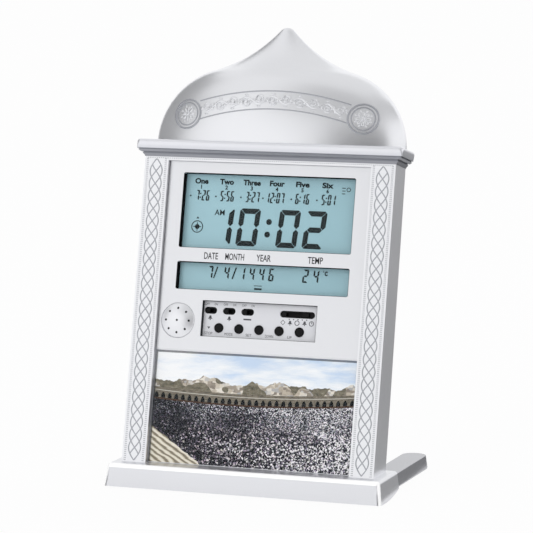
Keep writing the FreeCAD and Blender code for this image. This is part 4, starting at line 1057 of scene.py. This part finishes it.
def meadowTone(finish, u, v):
    place = finish.flat(u, v, *meadow["beds"])
    near, far = (finish.cells(place, *meadow[row]) for row in ("near", "far"))
    start, end = meadow["depth"]
    depth = finish.plain("MapRange", Value=v, From_Min=start, From_Max=end)
    petals = finish.axes(near)[0] * (1.0 - depth) + finish.axes(far)[0] * depth
    middle, slope = meadow["slope"]
    share = meadow["petalShare"]
    light = petals * share + finish.patches(u, v, *meadow["drift"]) * (1 - share) + (u - middle) * slope
    return finish.mix(meadow["tintShare"], finish.ramp(light, meadow["tones"]), near, "OVERLAY")


def terraceTone(finish, u, v):
    place = finish.flat(u + v * terrace["skew"], v, *terrace["steps"])
    return finish.ramp(finish.plain("TexWave", Vector=place, **terrace["wave"]), terrace["tones"])


def terraceShape(finish, u, v):
    edge = finish.patches(u, v, *terrace["edge"])
    return (v + u * terrace["slope"] + (edge - 0.5) * terrace["edgeReach"]) < terrace["height"]


def arcadeTone(finish, u, v, low):
    arch = u.sum("FRACT", u * arcade["arches"])
    bow = (arch - 0.5) * (arch - 0.5) * arcade["bow"]
    start, end = arcade["mouth"]
    mouths = between(v + bow, low + start, low + end) * between(arch, *arcade["mouthSides"])
    stone = finish.ramp(finish.patches(u, v, *arcade["weather"]), arcade["tones"])
    tone = finish.mix(mouths, stone, arcade["mouthTone"])
    for row in ("plinth", "ledge"):
        start, end, shade = arcade[row]
        tone = finish.mix(between(v, low + start, low + end), tone, shade)
    return tone


def pictureFinish():  # hills, houses and a long low arcade behind a meadow of pale flowers
    finish = Finish("landscapePrint")
    x, z = finish.axes(finish.clockSpot())[::2]
    u = (x - picture["left"]) / picture["width"]
    v = (z - picture["foot"]) / picture["height"]
    height, middle, reach = hills["skyline"]
    skyline = v < ((finish.patches(u, v, *hills["ridge"]) - middle) * reach + height)
    tone = finish.mix(skyline, skyTone(finish, u, v), hillTone(finish, u, v))
    middle, rise = arcade["bend"]
    bend = (u - middle) * (u - middle) * rise
    low = bend + arcade["low"]
    tone = finish.mix(v < bend + arcade["high"], tone, arcadeTone(finish, u, v, low))
    beds = finish.mix(terraceShape(finish, u, v), meadowTone(finish, u, v), terraceTone(finish, u, v))
    tone = finish.mix(v < low, tone, beds)
    left, right, top, share, shade = picture["rim"]
    rim = 1.0 - between(u, left, right) * (v < top)  # painted shade along the card's left, right and top edges
    tone = finish.mix(rim * share, tone, shade)
    return finish.surface(
        Base_Color=tone, Roughness=picture["roughness"], Specular_IOR_Level=picture["shine"])


slotFinish["picture_print"] = pictureFinish()
card = smoothed("picture_card", "pictureCard", slotFinish["picture_print"])
card.data.transform(Matrix.Translation((0, picture["lift"], 0)))
print("picture made")

slotOf = {part["node"]: part["material_slot"] for part in frame["record"]["subparts"]}
for name, node in nodes.items():
    node.data.materials.clear()
    node.data.materials.append(slotFinish[slotOf[name]])
print("finishes given to the nodes")

studio = {
    "floorSize": 12, "floorLight": "d6d6d8", "floorDark": "cbcbce", "floorGrain": 400.0,
    "floorRoughness": 0.9, "floorWhite": 0.96,  # share of plain white that the camera sees in the floor
    "floorMirrored": 0.7,  # and that glossy surfaces see
    "world": 0.9,  # as a light; it is seen as plain white
    "aim": Vector((0.0, 0.0, 0.2)),
    "lamps": {  # place, size, power
        "key": ((-0.85, -2.0, 0.95), 1.3, 12.0),
        "rim": ((1.6, 1.2, 0.7), 1.0, 6.0),
        "fill": ((0.7, -2.2, 0.35), 1.2, 4.0),
    },
    # only reflections see the cards: heading right of the front and height in degrees, spans, light
    "cards": {
        "left": (-91.0, 21.0, 70.0, 60.0, 0.2),
        "front": (19.0, 14.0, 42.0, 30.0, 0.02),
        "high": (4.0, 45.0, 46.0, 26.0, 0.4),
        "soft": (-44.0, 48.0, 34.0, 26.0, 0.85),
        "right": (70.0, 49.0, 92.0, 22.0, 0.45),
        "ceiling": (0.0, 90.0, 60.0, 60.0, 0.74),
    },
    "cardDistance": 2.5,
    "dusk": ((0.9, 1.36, 0.002), 1.6, 2.86, 0.22),  # darker floor behind: place, width, depth, light
}


def stageSheet(name, material, width, height, place, turn=(0, 0, 0)):
    bm = bmesh.new()
    bmesh.ops.create_grid(bm, x_segments=1, y_segments=1, size=0.5)
    bmesh.ops.scale(bm, vec=(width, height, 1), verts=bm.verts)
    sheet = asObject(bm, name, material)
    sheet.location = place
    sheet.rotation_euler = turn
    return sheet


def facing(place):
    return (studio["aim"] - Vector(place)).to_track_quat("-Z", "Y").to_euler()


def glowing(finish, light, kind="Emission"):
    return finish.plain(kind, Color=(1, 1, 1, 1), Strength=light)


def seenShare(finish, camera, mirrored):  # how much of a glow is seen straight and in reflections
    rays = finish.node("LightPath").socket.node.outputs
    seen = Value(finish, rays["Is Camera Ray"]) * camera
    for ray in ("Is Glossy Ray", "Is Transmission Ray"):
        seen = seen.sum("MAXIMUM", seen, Value(finish, rays[ray]) * mirrored)
    return seen


def makeFloor():
    finish = Finish("floorPaper")
    seen = seenShare(finish, studio["floorWhite"], studio["floorMirrored"])
    grain = finish.noise(finish.spot(), studio["floorGrain"])
    tone = finish.mix(grain, studio["floorDark"], studio["floorLight"])
    paper = finish.plain("BsdfPrincipled", Base_Color=tone, Roughness=studio["floorRoughness"])
    shader = finish.node("MixShader", inputs={0: seen, 1: paper, 2: glowing(finish, 1.0)})
    stageSheet("floor", finish.done(shader), studio["floorSize"], studio["floorSize"], (0, 0, 0))


def makeCard(name, light, *size):
    finish = Finish(name + "Card")
    sheet = stageSheet(name + "Card", finish.done(glowing(finish, light)), *size)
    sheet.visible_camera = False
    sheet.visible_diffuse = False
    sheet.visible_shadow = False


def makeCards():
    far = studio["cardDistance"]
    for name, (heading, height, across, up, light) in studio["cards"].items():
        tilt = Matrix.Rotation(-radians(height), 3, "X")
        turn = Matrix.Rotation(radians(heading), 3, "Z") @ tilt
        place = studio["aim"] + turn @ Vector((0, -far, 0))
        width, tall = (2 * far * tan(radians(span / 2)) for span in (across, up))
        makeCard(name, light, width, tall, place, facing(place))
    place, width, depth, light = studio["dusk"]
    makeCard("dusk", light, width, depth, place)


def makeWorld():
    scene.world = bpy.data.worlds.new("studio")
    finish = Finish("studio", scene.world, "OutputWorld")
    seen = seenShare(finish, 1.0, 1.0)
    dim, white = (glowing(finish, light, "Background") for light in (studio["world"], 1.0))
    finish.done(finish.node("MixShader", inputs={0: seen, 1: dim, 2: white}))


def makeLamps():
    for name, (place, size, power) in studio["lamps"].items():
        lamp = bpy.data.lights.new(name, "AREA")
        lamp.size = size
        lamp.energy = power
        holder = linked(name, lamp)
        holder.location = place
        holder.rotation_euler = facing(place)
        holder.visible_glossy = False


view = {
    "place": (0.646727, -1.822798, 0.46329), "azimuth": 19.54, "elevation": 9.351, "roll": -0.6,
    "lens": 198.0, "sensor": 36, "reach": 50,
}


def makeCamera():
    data = bpy.data.cameras.new("camera")
    data.lens = view["lens"]
    data.sensor_width = view["sensor"]
    data.clip_end = view["reach"]
    camera = linked("camera", data)
    turn = Matrix.Rotation(radians(view["azimuth"]), 4, "Z")
    tilt = Matrix.Rotation(radians(90 - view["elevation"]), 4, "X")
    roll = Matrix.Rotation(radians(view["roll"]), 4, "Z")
    camera.matrix_world = Matrix.Translation(view["place"]) @ turn @ tilt @ roll
    scene.camera = camera


makeFloor()
makeCards()
makeWorld()
makeLamps()
makeCamera()
print("studio made")
